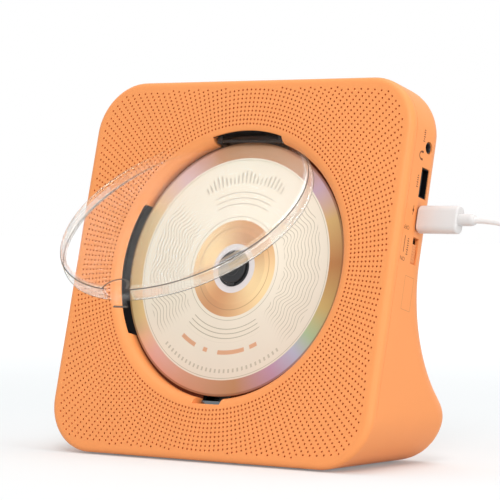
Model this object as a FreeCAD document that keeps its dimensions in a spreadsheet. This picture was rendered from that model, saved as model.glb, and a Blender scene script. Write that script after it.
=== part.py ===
"""Desktop CD player: a leaning rounded housing, a disc well with a clear lid, and the works inside.

Millimetres. The front faces -Y and +Z is up; the origin is on the table under the middle of the object.
Pieces of the leaning housing are drawn in the frame of the disc well: x to the right, y up the face,
z out of the face, and zero in the middle of the well on the face. One placement then leans them back.
Pieces that lie on the table are drawn upright.
"""
import FreeCAD
import Part
import Sketcher
import math
import operator
import os
from types import SimpleNamespace

SIZES = {
    # leaning housing: face, slim upper body, hollow back and deep foot
    "face_width": 180.0,
    "face_height": 180.0,
    "lean": 14.0,
    "corner_radius": 25.0,
    "body_thickness": 29.0,
    "foot_depth": 75.0,
    "foot_height": 18.0,
    "foot_flare": 46.0,
    "foot_top_radius": 17.0,
    "front_edge": 2.4,
    "back_edge_radius": 11.0,
    "wall": 2.2,
    "face_wall": 2.5,
    "cover_depth": 4.5,
    "inner_chamfer": 5.5,
    "pad_length": 110.0,
    "pad_width": 8.0,
    "pad_exposed": 0.8,
    "pad_recess": 0.6,
    "pad_front": 13.0,
    "pad_back": 58.0,
    # disc well with its lip, slots and recesses
    "well_height": 91.0,
    "well_radius": 61.6,
    "well_depth": 9.5,
    "lip_radius": 4.9,
    "collar_wall": 2.4,
    "finger_span": 62.0,
    "finger_drop": 2.0,
    "finger_roof": 2.6,
    "finger_depth": 4.6,
    "hinge_slot": 39.0,
    "hinge_slot_lip": 2.9,
    "catch_slot": 15.4,
    "catch_slot_depth": 3.0,
    # tray behind the disc
    "tray_rim": 6.0,
    "tray_thickness": 1.5,
    "tray_opening": 16.0,
    "tray_wall": 1.5,
    "pickup_window": 16.0,
    "pickup_window_start": 12.0,
    "pickup_window_end": 66.0,
    # screws
    "screw_radius": 1.4,
    "screw_head_radius": 2.7,
    "screw_head_height": 1.8,
    "boss_radius": 3.4,
    "thread_clearance": 0.03,
    "screw_clearance": 0.3,
    "case_screw_x": 74.0,
    "case_screw_low": 38.0,
    "boss_meeting": 15.0,
    "screw_bite": 9.0,
    "screw_gap": 1.0,
    "screw_seat": 4.0,
    # lid and hinge
    "lid_radius": 60.3,
    "lid_wall": 1.8,
    "lid_top": 1.9,
    "lid_edge": 2.8,
    "lid_skirt": 6.3,
    "lid_open": 39.5,
    "hinge_height": 60.2,
    "hinge_sunk": 4.2,
    "pin_radius": 0.75,
    "pin_clearance": 0.05,
    "knuckle_radius": 1.5,
    "knuckle_length": 31.0,
    "knuckle_arm": 4.6,
    "knuckle_arm_thickness": 2.0,
    "knuckle_arm_lift": 0.4,
    "ear_thickness": 2.8,
    "ear_gap": 0.3,
    "bracket_wall": 2.2,
    "bracket_back": 66.4,
    "bracket_roof": 3.0,
    "bracket_gap": 0.1,
    "ear_reach": 1.2,
    "tab_radius": 7.2,
    "tab_rise": 0.9,
    "tab_overhang": 1.7,
    "hook_thickness": 1.3,
    "hook_drop": 6.0,
    "catch_width": 11.6,
    "catch_gap": 0.4,
    "catch_thickness": 2.0,
    "catch_top": 4.5,
    "catch_foot": 6.2,
    "catch_foot_thickness": 1.2,
    # disc and spindle
    "disc_radius": 60.0,
    "disc_hole": 7.5,
    "disc_thickness": 1.2,
    "disc_sunk": 6.0,
    "hub_clearance": 0.15,
    "hub_rise": 1.8,
    "turntable_radius": 14.0,
    "turntable_thickness": 1.8,
    "shaft_radius": 1.0,
    "shaft_clearance": 0.04,
    "shaft_end_gap": 0.5,
    "spindle_motor_radius": 10.5,
    "spindle_motor_height": 5.3,
    # mechanism under the tray
    "plate_drop": 16.0,
    "plate_thickness": 1.0,
    "plate_width": 84.0,
    "plate_top": 27.0,
    "plate_bottom": 73.0,
    "damper_radius": 4.0,
    "damper_x": 34.0,
    "damper_top": 20.0,
    "damper_low": 58.0,
    "rod_radius": 1.2,
    "rod_spread": 15.0,
    "rod_drop": 13.2,
    "rod_start": 12.5,
    "rod_end": 70.5,
    "rod_clearance": 0.06,
    "bracket_width": 6.0,
    "bracket_length": 3.0,
    "pickup_width": 38.0,
    "pickup_length": 18.0,
    "pickup_height": 4.0,
    "pickup_start": 24.0,
    "pickup_gap": 0.5,
    "lens_block": 12.0,
    "lens_block_height": 1.5,
    "lens_radius": 3.0,
    "lens_height": 0.7,
    "rack_width": 2.0,
    "rack_height": 3.0,
    "rack_before": 18.0,
    "rack_behind": 17.0,
    "gear_radius": 4.2,
    "tooth_height": 0.8,
    "tooth_width": 0.8,
    "gear_gap": 0.3,
    "gear_place": 40.0,
    "gear_shaft_radius": 0.75,
    "sled_motor_radius": 6.0,
    "sled_motor_height": 7.0,
    # boards
    "board_thickness": 1.6,
    "board_width": 92.0,
    "board_height": 40.0,
    "board_drop": 39.0,
    "board_standoff": 4.7,
    "board_rib": 3.0,
    "chip_side": 12.0,
    "chip_height": 1.4,
    "socket_board_width": 24.0,
    "socket_board_height": 66.0,
    "socket_board_middle": 36.0,
    "socket_board_gap": 1.2,
    # sockets and switch on the right edge
    "socket_depth": 16.0,
    "socket_stand": 3.0,
    "socket_set_back": 0.4,
    "socket_clearance": 0.3,
    "jack_place": 59.4,
    "jack_bore": 1.8,
    "jack_barrel": 2.5,
    "jack_width": 7.0,
    "jack_length": 12.0,
    "jack_bore_depth": 10.0,
    "usb_a_place": 43.0,
    "usb_a_width": 13.2,
    "usb_a_height": 5.8,
    "usb_a_length": 14.0,
    "usb_a_skin": 0.4,
    "usb_a_tongue": 1.8,
    "usb_c_place": 26.5,
    "usb_c_width": 9.4,
    "usb_c_height": 3.5,
    "usb_c_length": 9.0,
    "usb_c_skin": 0.35,
    "switch_place": 12.0,
    "switch_length": 13.0,
    "switch_depth": 7.0,
    "knob_length": 8.8,
    "knob_width": 4.0,
    "knob_travel": 2.6,
    "knob_gap": 0.3,
    "knob_stem": 2.0,
    "knob_stem_reach": 3.0,
    # push buttons on the top edge
    "button_pitch": 18.0,
    "button_width": 12.4,
    "button_depth": 5.2,
    "button_rise": 0.7,
    "button_gap": 0.25,
    "button_flange": 1.0,
    "button_flange_height": 2.4,
    "button_flange_gap": 0.05,
    "button_stem": 2.6,
    "button_stem_length": 1.8,
    "button_travel": 0.8,
    "tact_side": 6.0,
    "tact_height": 2.0,
    "tact_gap": 0.1,
    "button_board_width": 96.0,
    "button_board_front": 10.0,
    # speakers in the lower corners
    "speaker_inset": 25.0,
    "speaker_side": 30.6,
    "basket_side": 27.0,
    "speaker_flange": 1.3,
    "speaker_mouth": 12.5,
    "speaker_depth": 7.0,
    "speaker_skin": 1.2,
    "cone_depth": 4.0,
    "cone_gap": 0.3,
    "magnet_radius": 10.5,
    "magnet_height": 6.0,
    # battery in the foot
    "battery_radius": 9.2,
    "battery_length": 132.0,
    "battery_back": 54.0,
    "battery_up": 14.0,
    "cradle_spread": 45.0,
    "cradle_thickness": 4.0,
    "cradle_depth": 15.0,
    "cradle_gap": 0.1,
    # cable
    "plug_tongue_width": 8.3,
    "plug_tongue_height": 2.4,
    "plug_tongue_length": 6.8,
    "plug_stand_off": 0.6,
    "plug_width": 12.6,
    "plug_height": 6.6,
    "plug_length": 20.8,
    "plug_round": 2.6,
    "relief_length": 8.0,
    "relief_radius": 2.75,
    "cord_radius": 1.5,
    "coil_outer": 20.0,
    "coil_pitch": 3.6,
    "coil_half_turns": 2,
    "coil_lead_out": 6.0,
    "tie_wall": 0.5,
    "tie_gap": 0.25,
    "tie_length": 4.0,
    "far_relief_length": 10.5,
    "far_relief_radius": 2.3,
    "far_plug_length": 24.0,
    "far_plug_width": 12.4,
    "far_plug_height": 11.0,
    "far_tongue_length": 18.0,
    "far_tongue_width": 12.0,
    "far_tongue_height": 4.5,
    # how far a cutting shape runs past the face it opens
    "overrun": 1.0,
}

BUTTON_NAMES = ("button_previous", "button_play", "button_next", "button_quieter", "button_louder")
SIDES = (("left", -1), ("right", 1))
GEAR_TEETH = 14
CORD_SIDES = 6
BIG = 400.0

# Points of the cord after the plug, as steps to the right and back from its exit, and heights.
CORD_STEPS = (
    (16.0, 0.0, 0.0),
    (36.0, 1.0, -11.0),
    (51.0, 3.0, -37.0),
    (60.0, 6.0, -68.0),
    (72.0, 9.0, -95.5),
)
CORD_LANDING = (96.0, 11.0)
CORD_END = (121.0, 11.0)

OPERATIONS = {"+": operator.add, "-": operator.sub, "*": operator.mul, "/": operator.truediv}


class Size:
    """A number from the sheet, or worked out from it, that keeps its formula."""

    def __init__(self, value, text):
        self.value = float(value)
        self.text = text

    def __float__(self):
        return self.value

    def __add__(self, other):
        return joined(self, "+", other)

    def __radd__(self, other):
        return joined(other, "+", self)

    def __sub__(self, other):
        return joined(self, "-", other)

    def __rsub__(self, other):
        return joined(other, "-", self)

    def __mul__(self, other):
        return joined(self, "*", other)

    def __rmul__(self, other):
        return joined(other, "*", self)

    def __truediv__(self, other):
        return joined(self, "/", other)

    def __neg__(self):
        return joined(0.0, "-", self)


def as_size(amount):
    if isinstance(amount, Size):
        return amount
    return Size(amount, f"({float(amount)!r})")


def joined(left, sign, right):
    left = as_size(left)
    right = as_size(right)
    return Size(OPERATIONS[sign](left.value, right.value), f"({left.text} {sign} {right.text})")


def sine(angle):
    return Size(math.sin(math.radians(float(angle))), f"sin({angle.text})")


def cosine(angle):
    return Size(math.cos(math.radians(float(angle))), f"cos({angle.text})")


doc = FreeCAD.newDocument("cd_player")
sheet = doc.addObject("Spreadsheet::Sheet", "sizes")
for row, (alias, number) in enumerate(SIZES.items(), start=1):
    sheet.set(f"A{row}", alias)
    sheet.set(f"B{row}", str(number))
    sheet.setAlias(f"B{row}", alias)
doc.recompute()
s = SimpleNamespace(**{alias: Size(sheet.get(alias), f"sizes.{alias}") for alias in SIZES})
nodes = {}


def vector(x, y, z):
    return FreeCAD.Vector(float(x), float(y), float(z))


ALONG = {
    "x": FreeCAD.Rotation(FreeCAD.Vector(0, 1, 0), 90),
    "y": FreeCAD.Rotation(FreeCAD.Vector(1, 0, 0), -90),
    "z": FreeCAD.Rotation(),
}


# Building blocks

def bind(thing, name, amount):
    """Tie one property of a thing to its formula."""
    thing.setExpression(name, as_size(amount).text)


def move(thing, x=0, y=0, z=0):
    for axis, amount in zip("xyz", (x, y, z)):
        bind(thing, f"Placement.Base.{axis}", amount)
    return thing


def block(name, width, depth, height, x=0, y=0, z=0):
    """A box whose middle is over x, y and whose underside is at z."""
    box = doc.addObject("Part::Box", name)
    bind(box, "Length", width)
    bind(box, "Width", depth)
    bind(box, "Height", height)
    return move(box, x - width / 2, y - depth / 2, z)


def rod(name, radius, length, x=0, y=0, z=0, along="z"):
    """A round bar that starts at x, y, z and runs along one axis."""
    bar = doc.addObject("Part::Cylinder", name)
    bind(bar, "Radius", radius)
    bind(bar, "Height", length)
    bar.Placement = FreeCAD.Placement(FreeCAD.Vector(), ALONG[along])
    return move(bar, x, y, z)


def prism(name, radius, length, x=0, y=0, z=0, sides=6):
    """A bar along z with flat sides."""
    bar = doc.addObject("Part::Prism", name)
    bar.Polygon = sides
    bind(bar, "Circumradius", radius)
    bind(bar, "Height", length)
    return move(bar, x, y, z)


def fuse(name, *pieces):
    result = doc.addObject("Part::MultiFuse", name)
    result.Shapes = list(pieces)
    result.Refine = True
    return result


def common(name, *pieces):
    result = doc.addObject("Part::MultiCommon", name)
    result.Shapes = list(pieces)
    return result


def together(name, *pieces):
    """Separate solids of one kind, kept in one node."""
    result = doc.addObject("Part::Compound", name)
    result.Links = list(pieces)
    return result


def cut(name, base, *tools):
    result = doc.addObject("Part::Cut", name)
    result.Base = base
    result.Tool = tools[0] if len(tools) == 1 else fuse(f"{name}_tools", *tools)
    return result


def eased(kind, name, base, amount, chosen):
    """Round or bevel the edges of a piece that the test picks out."""
    doc.recompute()
    result = doc.addObject(kind, name)
    result.Base = base
    picked = [number for number, edge in enumerate(base.Shape.Edges, start=1) if chosen(edge)]
    result.Edges = [(number, float(amount), float(amount)) for number in picked]
    return result


def rounded(name, base, radius, chosen):
    return eased("Part::Fillet", name, base, radius, chosen)


def bevelled(name, base, leg, chosen):
    return eased("Part::Chamfer", name, base, leg, chosen)


def arc_through(start, end, radius):
    """An arc between two points; a positive radius has its middle to the left of the way along."""
    half = (end - start) / 2
    reach = math.sqrt(radius ** 2 - half.Length ** 2)
    left = FreeCAD.Vector(-half.y, half.x, 0).normalize()
    middle = start + half + left * math.copysign(reach, radius)
    angles = [math.atan2(point.y - middle.y, point.x - middle.x) for point in (start, end)]
    if radius < 0:
        angles.reverse()
    circle = Part.Circle(middle, FreeCAD.Vector(0, 0, 1), abs(radius))
    return Part.ArcOfCircle(circle, *angles)


def outline(body, role, corners):
    """A closed sketch: each corner is x, y and, where an arc leaves it, that arc's signed radius."""
    sketch = body.newObject("Sketcher::SketchObject", f"{body.Name}_outline")
    plane = next(item for item in body.Origin.OriginFeatures if item.Role == role)
    sketch.AttachmentSupport = [(plane, "")]
    sketch.MapMode = "FlatFace"
    points = [vector(corner[0], corner[1], 0) for corner in corners]
    ends = []
    for number, corner in enumerate(corners):
        start = points[number]
        end = points[(number + 1) % len(points)]
        if len(corner) == 3:
            sketch.addGeometry(arc_through(start, end, float(corner[2])))
            ends.append((1, 2) if float(corner[2]) > 0 else (2, 1))
        else:
            sketch.addGeometry(Part.LineSegment(start, end))
            ends.append((1, 2))
    for number, corner in enumerate(corners):
        following = (number + 1) % len(corners)
        sketch.addConstraint(
            Sketcher.Constraint("Coincident", number, ends[number][1], following, ends[following][0]))
        for kind, amount, axis in (("DistanceX", corner[0], -2), ("DistanceY", corner[1], -1)):
            if not isinstance(amount, Size) and amount == 0:
                sketch.addConstraint(Sketcher.Constraint("PointOnObject", number, ends[number][0], axis))
                continue
            place = Sketcher.Constraint(kind, -1, 1, number, ends[number][0], float(amount))
            index = sketch.addConstraint(place)
            bind(sketch, f"Constraints[{index}]", amount)
        if len(corner) == 3:
            size = -corner[2] if float(corner[2]) < 0 else corner[2]
            index = sketch.addConstraint(Sketcher.Constraint("Radius", number, float(size)))
            bind(sketch, f"Constraints[{index}]", size)
    return sketch


def turned(name, corners):
    """A body turned all the way about z from an outline of radius and height."""
    body = doc.addObject("PartDesign::Body", name)
    sketch = outline(body, "XZ_Plane", corners)
    turn = body.newObject("PartDesign::Revolution", f"{name}_turn")
    turn.Profile = sketch
    turn.ReferenceAxis = (sketch, ["V_Axis"])
    turn.Angle = 360.0
    return body


def padded(name, role, corners, length):
    """A body pushed out of an outline."""
    body = doc.addObject("PartDesign::Body", name)
    pad = body.newObject("PartDesign::Pad", f"{name}_pad")
    pad.Profile = outline(body, role, corners)
    bind(pad, "Length", length)
    return body


def ring(name, inner, outer, bottom, top):
    return turned(name, [(inner, bottom), (outer, bottom), (outer, top), (inner, top)])


# Frames

lean_sine = sine(s.lean)
lean_cosine = cosine(s.lean)


def leaned(y, z):
    """A point of the upright side view, in the frame of the well."""
    return y * lean_sine + z * lean_cosine - s.well_height, z * lean_sine - y * lean_cosine


def opened(y, z):
    """A point of the closed lid, after it has swung open about its hinge."""
    ahead = y - s.hinge_height
    out = z + s.hinge_sunk
    swing_sine = sine(s.lid_open)
    swing_cosine = cosine(s.lid_open)
    return (s.hinge_height + ahead * swing_cosine + out * swing_sine,
            out * swing_cosine - ahead * swing_sine - s.hinge_sunk)


tab_y, tab_z = opened(-(s.lid_radius + s.tab_overhang), s.lid_top + s.tab_rise)
front_most = (tab_y + s.well_height) * lean_sine - tab_z * lean_cosine
frame_shift = -(front_most + s.foot_depth) / 2
UPRIGHT = FreeCAD.Placement(vector(0, frame_shift, s.pad_exposed), FreeCAD.Rotation())
WELL_MIDDLE = vector(0, s.well_height * lean_sine, s.well_height * lean_cosine)
LEAN_TURN = FreeCAD.Rotation(FreeCAD.Vector(1, 0, 0), 90 - float(s.lean))
FACE = FreeCAD.Placement(WELL_MIDDLE, LEAN_TURN)
LEANED = UPRIGHT.multiply(FACE)


def stand_in_well(thing):
    """Put a piece that is drawn upright into the frame of the well."""
    doc.recompute()
    for axis in "xyz":
        thing.setExpression(f"Placement.Base.{axis}", None)
    thing.Placement = FACE.inverse().multiply(thing.Placement)
    return thing


def node(label, thing, placement=LEANED):
    """Name a finished piece and stand it in the object's frame."""
    doc.recompute()
    for axis in "xyz":
        thing.setExpression(f"Placement.Base.{axis}", None)
    thing.Placement = placement.multiply(thing.Placement)
    thing.Label = label
    nodes[label] = thing
    return thing


# Housing

top_edge = s.face_height - s.well_height
half_width = s.face_width / 2
foot_middle = leaned(s.foot_depth - s.foot_top_radius, s.foot_height)
flare_angle = s.foot_flare + s.lean
flare_way = (sine(flare_angle), -cosine(flare_angle))
foot_top_end = foot_middle[1] + s.foot_top_radius * flare_way[1]
hollow_radius = -(foot_top_end + s.body_thickness) / (1.0 - cosine(flare_angle))
hollow_start = foot_middle[0] + (s.foot_top_radius + hollow_radius) * flare_way[0]


def side_outline(inset, front):
    """Side view of the housing, drawn in by inset, from the plane z = front to the back."""
    foot_radius = s.foot_top_radius - inset
    back = inset - s.body_thickness
    bottom_front = ((inset * lean_sine - front) / lean_cosine, inset)
    return [
        (leaned(*bottom_front)[0], front),
        (top_edge - inset, front),
        (top_edge - inset, back),
        (hollow_start, back, hollow_radius + inset),
        (foot_middle[0] + foot_radius * flare_way[0], foot_middle[1] + foot_radius * flare_way[1],
         -foot_radius),
        (foot_middle[0] + foot_radius * lean_sine, foot_middle[1] - foot_radius * lean_cosine),
        leaned(s.foot_depth - inset, inset),
    ]


def housing_block(name, inset, front):
    """The housing as a solid: its side view across the width, with the four corners of the face rounded."""
    width = s.face_width - inset * 2
    slab = padded(f"{name}_side", "YZ_Plane", side_outline(inset, front), width)
    move(slab, -width / 2)
    upper = block(f"{name}_upper", width, BIG, BIG, 0, top_edge - inset - BIG / 2, -BIG / 2)
    lower = block(f"{name}_lower", width, BIG, BIG, 0, 0, inset)
    radius = s.corner_radius - inset
    upper_round = rounded(f"{name}_upper_round", upper, radius, lambda edge: at_top(edge, top_edge - inset))
    lower_round = rounded(f"{name}_lower_round", lower, radius, lambda edge: at_bottom(edge, inset))
    stand_in_well(lower_round)
    return common(name, slab, upper_round, lower_round)


def at_top(edge, y):
    middle = edge.CenterOfMass
    return abs(middle.y - float(y)) < 1e-6 and abs(middle.z) < 1e-6


def at_bottom(edge, z):
    middle = edge.CenterOfMass
    return abs(middle.z - float(z)) < 1e-6 and abs(middle.y) < 1e-6


def middle_of(edge):
    return edge.valueAt((edge.FirstParameter + edge.LastParameter) / 2)


def on_plane(edge, z):
    points = [middle_of(edge)] + [vertex.Point for vertex in edge.Vertexes]
    return all(abs(point.z - z) < 1e-4 for point in points)


def back_edges(shape):
    """Edges where a face that looks back meets another at an angle."""
    back_way = vector(0, lean_sine, -lean_cosine)
    found = []
    for edge in shape.Edges:
        point = middle_of(edge)
        normals = []
        for face in shape.ancestorsOfType(edge, Part.Face):
            normals.append(face.normalAt(*face.Surface.parameter(point)))
        turn = math.degrees(normals[0].getAngle(normals[1]))
        if turn > 20 and max(normal.dot(back_way) for normal in normals) > 0.6:
            found.append(edge)
    return found


def back_edge_test(piece):
    doc.recompute()
    found = back_edges(piece.Shape)
    return lambda edge: any(edge.isSame(other) for other in found)


outer = housing_block("housing_outer", as_size(0.0), as_size(0.0))
back_rounded = rounded("housing_back", outer, s.back_edge_radius, back_edge_test(outer))
housing = bevelled("housing_front", back_rounded, s.front_edge, lambda edge: on_plane(edge, 0.0))
cavity = housing_block("housing_cavity", s.wall, -s.face_wall)
inner = bevelled("housing_inner", cavity, s.inner_chamfer, back_edge_test(cavity))

case_screw_places = [(side * s.case_screw_x, -s.case_screw_low) for _, side in SIDES]
collar_radius = s.well_radius + s.collar_wall
tray_radius = collar_radius + s.tray_rim


def lip_point(angle):
    """A point on the soft lip, by its angle from the wall of the well."""
    middle_radius = s.well_radius + s.lip_radius
    turn = math.radians(angle)
    return (middle_radius - s.lip_radius * math.cos(turn), s.lip_radius * (math.sin(turn) - 1.0))


def front_cover():
    """Face with its rim, the collar of the well, a soft lip, and bosses for the case screws."""
    slab = block("cover_slab", BIG, BIG, s.cover_depth + s.overrun, 0, 0, -s.cover_depth)
    skin = cut("cover_skin", common("cover_solid", housing, slab), inner)
    collar = rod("cover_collar", collar_radius, s.well_depth - s.face_wall / 2, z=-s.well_depth)
    bosses = [rod(f"cover_boss_{number}", s.boss_radius, s.boss_meeting - s.face_wall / 2, x, y,
                  -s.boss_meeting)
              for number, (x, y) in enumerate(case_screw_places)]
    solid = fuse("cover_with_collar", skin, collar, *bosses)
    under = -s.well_depth - s.overrun
    well = turned("cover_well", [
        (0, under),
        (s.well_radius, under),
        lip_point(0),
        lip_point(30),
        lip_point(60),
        lip_point(90),
        (s.well_radius + s.lip_radius, s.overrun),
        (0, s.overrun),
    ])
    finger_slot = block("finger_slot", BIG, s.finger_span, s.well_depth - s.finger_roof + s.overrun,
                        0, -s.finger_drop, under)
    finger_round = rod("finger_round", collar_radius + s.overrun, BIG, z=-BIG / 2)
    through = s.well_depth + s.overrun * 2
    slot_round = rod("hinge_slot_round", s.well_radius + s.hinge_slot_lip, through, z=under)
    slot_span = block("hinge_slot_span", s.hinge_slot, BIG, BIG, 0, BIG / 2, -BIG / 2)
    tools = [
        well,
        common("finger_cut", finger_slot, finger_round),
        common("hinge_lip_cut", slot_round, slot_span),
        block("hinge_cut", s.hinge_slot, tray_radius, s.well_depth - s.bracket_roof + s.overrun,
              0, tray_radius / 2, under),
        block("catch_cut", s.catch_slot, s.well_radius + s.catch_slot_depth, through,
              0, -(s.well_radius + s.catch_slot_depth) / 2, under),
    ]
    for number, (x, y) in enumerate(case_screw_places):
        tools.append(prism(f"case_thread_{number}", s.screw_radius + s.thread_clearance, s.screw_bite,
                             x, y, -s.boss_meeting))
    node("front_cover", cut("cover", solid, *tools))


button_places = [(number - (len(BUTTON_NAMES) - 1) / 2) * s.button_pitch
                 for number in range(len(BUTTON_NAMES))]
inner_x = half_width - s.wall
inner_top = top_edge - s.wall
inner_back = s.wall - s.body_thickness


def pad_strips(name, height, bottom):
    """The two strips under the foot, at a height of their own."""
    return [block(f"{name}_{place}", s.pad_length, s.pad_width, height, 0, y, bottom)
            for place, y in (("front", s.pad_front), ("back", s.pad_back))]


def side_opening(name, place, width, height):
    """An opening through the right wall, width up the face and height across it."""
    return block(name, s.wall * 4, width, height, half_width, place, -s.socket_depth - height / 2)


def rear_shell():
    """Back of the housing with its openings, screw posts, standoffs and battery cradle."""
    slab = block("rear_slab", BIG, BIG, BIG, 0, 0, -s.cover_depth - BIG)
    rear_solid = common("rear_solid", housing, slab)
    skin = cut("rear_skin", rear_solid, inner)
    posts = [rod(f"rear_post_{number}", s.boss_radius, BIG, x, y, -s.boss_meeting - BIG)
             for number, (x, y) in enumerate(case_screw_places)]
    ribs = board_ribs()
    cradles = []
    for label, side in SIDES:
        cradle = block(f"cradle_{label}", s.cradle_thickness, s.cradle_depth, s.battery_up,
                       side * s.cradle_spread, s.battery_back, 0)
        cradles.append(stand_in_well(cradle))
    bed = rod("battery_bed", s.battery_radius + s.cradle_gap, s.face_width, -half_width,
              s.battery_back, s.battery_up, along="x")
    stand_in_well(bed)
    inside = common("rear_inside", fuse("rear_posts", *posts, *ribs, *cradles), rear_solid)
    solid = fuse("rear_with_posts", skin, cut("rear_inside_bed", inside, bed))
    gap = s.socket_clearance * 2
    tools = [
        rod("jack_opening", s.jack_barrel + s.socket_clearance, s.wall * 4, half_width - s.wall * 2,
            s.jack_place, -s.socket_depth, along="x"),
        side_opening("usb_a_opening", s.usb_a_place, s.usb_a_width + gap, s.usb_a_height + gap),
        side_opening("usb_c_opening", s.usb_c_place, s.usb_c_width + gap, s.usb_c_height + gap),
        side_opening("switch_opening", s.switch_place, s.knob_length + s.knob_travel + s.knob_gap * 2,
                     s.knob_width + s.knob_gap * 2),
    ]
    for label, x in zip(BUTTON_NAMES, button_places):
        tools.append(block(f"{label}_opening", s.button_width + s.button_gap * 2, s.wall * 4,
                           s.button_depth + s.button_gap * 2, x, top_edge,
                           -s.socket_depth - s.button_depth / 2 - s.button_gap))
    for number, (x, y) in enumerate(case_screw_places):
        tools.append(prism(f"case_hole_{number}", s.screw_radius + s.screw_clearance, BIG, x, y, -BIG))
        tools.append(rod(f"case_counterbore_{number}", s.screw_head_radius + s.screw_clearance, BIG,
                         x, y, -s.boss_meeting - s.screw_seat - BIG))
    tools += [stand_in_well(recess) for recess in pad_strips("pad_recess", s.pad_recess * 2, -s.pad_recess)]
    node("rear_shell", cut("rear", solid, *tools))


def foot_pads():
    strips = pad_strips("pad", s.pad_recess + s.pad_exposed, -s.pad_exposed)
    node("foot_pads", together("pads", *strips), UPRIGHT)


def case_screws():
    """Pan-head screws deep in the wells of the back, with their ends in the bosses of the cover."""
    seat = -s.boss_meeting - s.screw_seat
    made = []
    for number, (x, y) in enumerate(case_screw_places):
        head = rod(f"screw_head_{number}", s.screw_head_radius, s.screw_head_height, x, y,
                   seat - s.screw_head_height)
        shank = prism(f"screw_shank_{number}", s.screw_radius, s.screw_seat + s.screw_bite - s.screw_gap,
                        x, y, seat)
        made.append(fuse(f"screw_{number}", head, shank))
    node("case_screws", together("screw_set", *made))


# Well: tray, hinge, lid, catch

tray_top = -s.well_depth
tray_under = tray_top - s.tray_thickness
damper_places = [(side * s.damper_x, y) for _, side in SIDES for y in (s.damper_top, -s.damper_low)]


def disc_tray():
    """Black plate behind the disc, with walls that close the two finger recesses."""
    plate = ring("tray_plate", s.tray_opening, tray_radius, tray_under, tray_top)
    wall_start = collar_radius + s.finger_depth - s.collar_wall
    wall_ring = ring("tray_wall_ring", wall_start, wall_start + s.tray_wall, tray_top, -s.face_wall)
    span = block("tray_wall_span", BIG, s.finger_span + s.tray_wall * 2, BIG, 0, -s.finger_drop, -BIG / 2)
    solid = fuse("tray_solid", plate, common("tray_walls", wall_ring, span))
    window_length = s.pickup_window_end - s.pickup_window_start
    window = block("tray_window", s.pickup_window, window_length, s.tray_thickness * 4,
                   0, -(s.pickup_window_start + window_length / 2), tray_under - s.tray_thickness)
    node("disc_tray", cut("tray", solid, window))


ear_middle = s.knuckle_length / 2 + s.ear_gap + s.ear_thickness / 2


def hinge_bracket():
    """Black bracket in the hinge slot, with two ears that hold the pin."""
    width = (ear_middle + s.ear_thickness / 2) * 2
    height = s.well_depth - s.bracket_roof - s.bracket_gap
    wall = block("bracket_wall", width, s.bracket_wall, height, 0, s.bracket_back - s.bracket_wall / 2,
                 tray_top)
    ears = []
    ear_depth = s.bracket_back - s.hinge_height + s.ear_reach
    for label, side in SIDES:
        ears.append(block(f"bracket_ear_{label}", s.ear_thickness, ear_depth, height,
                          side * ear_middle, s.bracket_back - ear_depth / 2, tray_top))
    solid = fuse("bracket_solid", wall, *ears)
    bore = rod("bracket_bore", s.pin_radius + s.pin_clearance, width + s.overrun * 2, -width / 2 - s.overrun,
               s.hinge_height, -s.hinge_sunk, along="x")
    node("hinge_bracket", cut("bracket", solid, bore))
    pin = rod("pin", s.pin_radius, width, -width / 2, s.hinge_height, -s.hinge_sunk, along="x")
    node("hinge_pin", pin)


def lid():
    """Clear shallow dome with a skirt, a knuckle on the hinge pin, and a finger tab with a hook."""
    top = s.lid_top
    inside = s.lid_radius - s.lid_wall
    bottom = top - s.lid_skirt
    shell = turned("lid_shell", [
        (0, top),
        (s.lid_radius - s.lid_edge, top),
        (s.lid_radius - s.lid_edge * 0.3, top - s.lid_edge * 0.3),
        (s.lid_radius, top - s.lid_edge),
        (s.lid_radius, bottom),
        (inside, bottom),
        (inside, top - s.lid_wall * 1.4),
        (inside - s.lid_wall * 0.4, top - s.lid_wall),
        (0, top - s.lid_wall),
    ])
    knuckle = rod("lid_knuckle", s.knuckle_radius, s.knuckle_length, -s.knuckle_length / 2,
                  s.hinge_height, -s.hinge_sunk, along="x")
    arm = block("lid_arm", s.knuckle_length, s.knuckle_arm, s.knuckle_arm_thickness, 0,
                s.hinge_height - s.knuckle_arm / 2,
                s.knuckle_arm_lift - s.hinge_sunk - s.knuckle_arm_thickness / 2)
    outer_y = s.lid_radius + s.tab_overhang
    tab_low = top - s.lid_edge
    tab_round = rod("lid_tab_round", s.tab_radius, s.tab_rise + s.lid_edge, 0, -s.lid_radius, tab_low)
    tab_trim = block("lid_tab_trim", BIG, BIG, BIG, 0, BIG / 2 - outer_y, -BIG / 2)
    tab = common("lid_tab", tab_round, tab_trim)
    hook = block("lid_hook", s.tab_radius * 1.9, s.hook_thickness, s.hook_drop + s.lid_edge / 2, 0,
                 -outer_y + s.hook_thickness / 2, tab_low - s.hook_drop)
    solid = fuse("lid_solid", shell, knuckle, arm, tab, hook)
    bore = rod("lid_bore", s.pin_radius + s.pin_clearance, s.knuckle_length + s.overrun * 2,
               -s.knuckle_length / 2 - s.overrun, s.hinge_height, -s.hinge_sunk, along="x")
    hinge = vector(0, s.hinge_height, -s.hinge_sunk)
    swing = FreeCAD.Rotation(FreeCAD.Vector(1, 0, 0), -float(s.lid_open))
    open_place = FreeCAD.Placement(FreeCAD.Vector(), swing, hinge)
    node("lid", cut("lid_cut", solid, bore), LEANED.multiply(open_place))


def lid_catch():
    """Bent steel keeper in the notch at the bottom of the lip: a foot on the tray, a wall behind the hook."""
    start = s.lid_radius + s.tab_overhang + s.catch_gap
    height = s.well_depth - s.catch_top
    wall = block("catch_wall", s.catch_width, s.catch_thickness, height,
                 0, -start - s.catch_thickness / 2, tray_top)
    foot = block("catch_foot_plate", s.catch_width, s.catch_foot, s.catch_foot_thickness,
                 0, -start - s.catch_foot / 2, tray_top)
    node("lid_catch", fuse("catch", wall, foot))


# Disc and spindle

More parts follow.
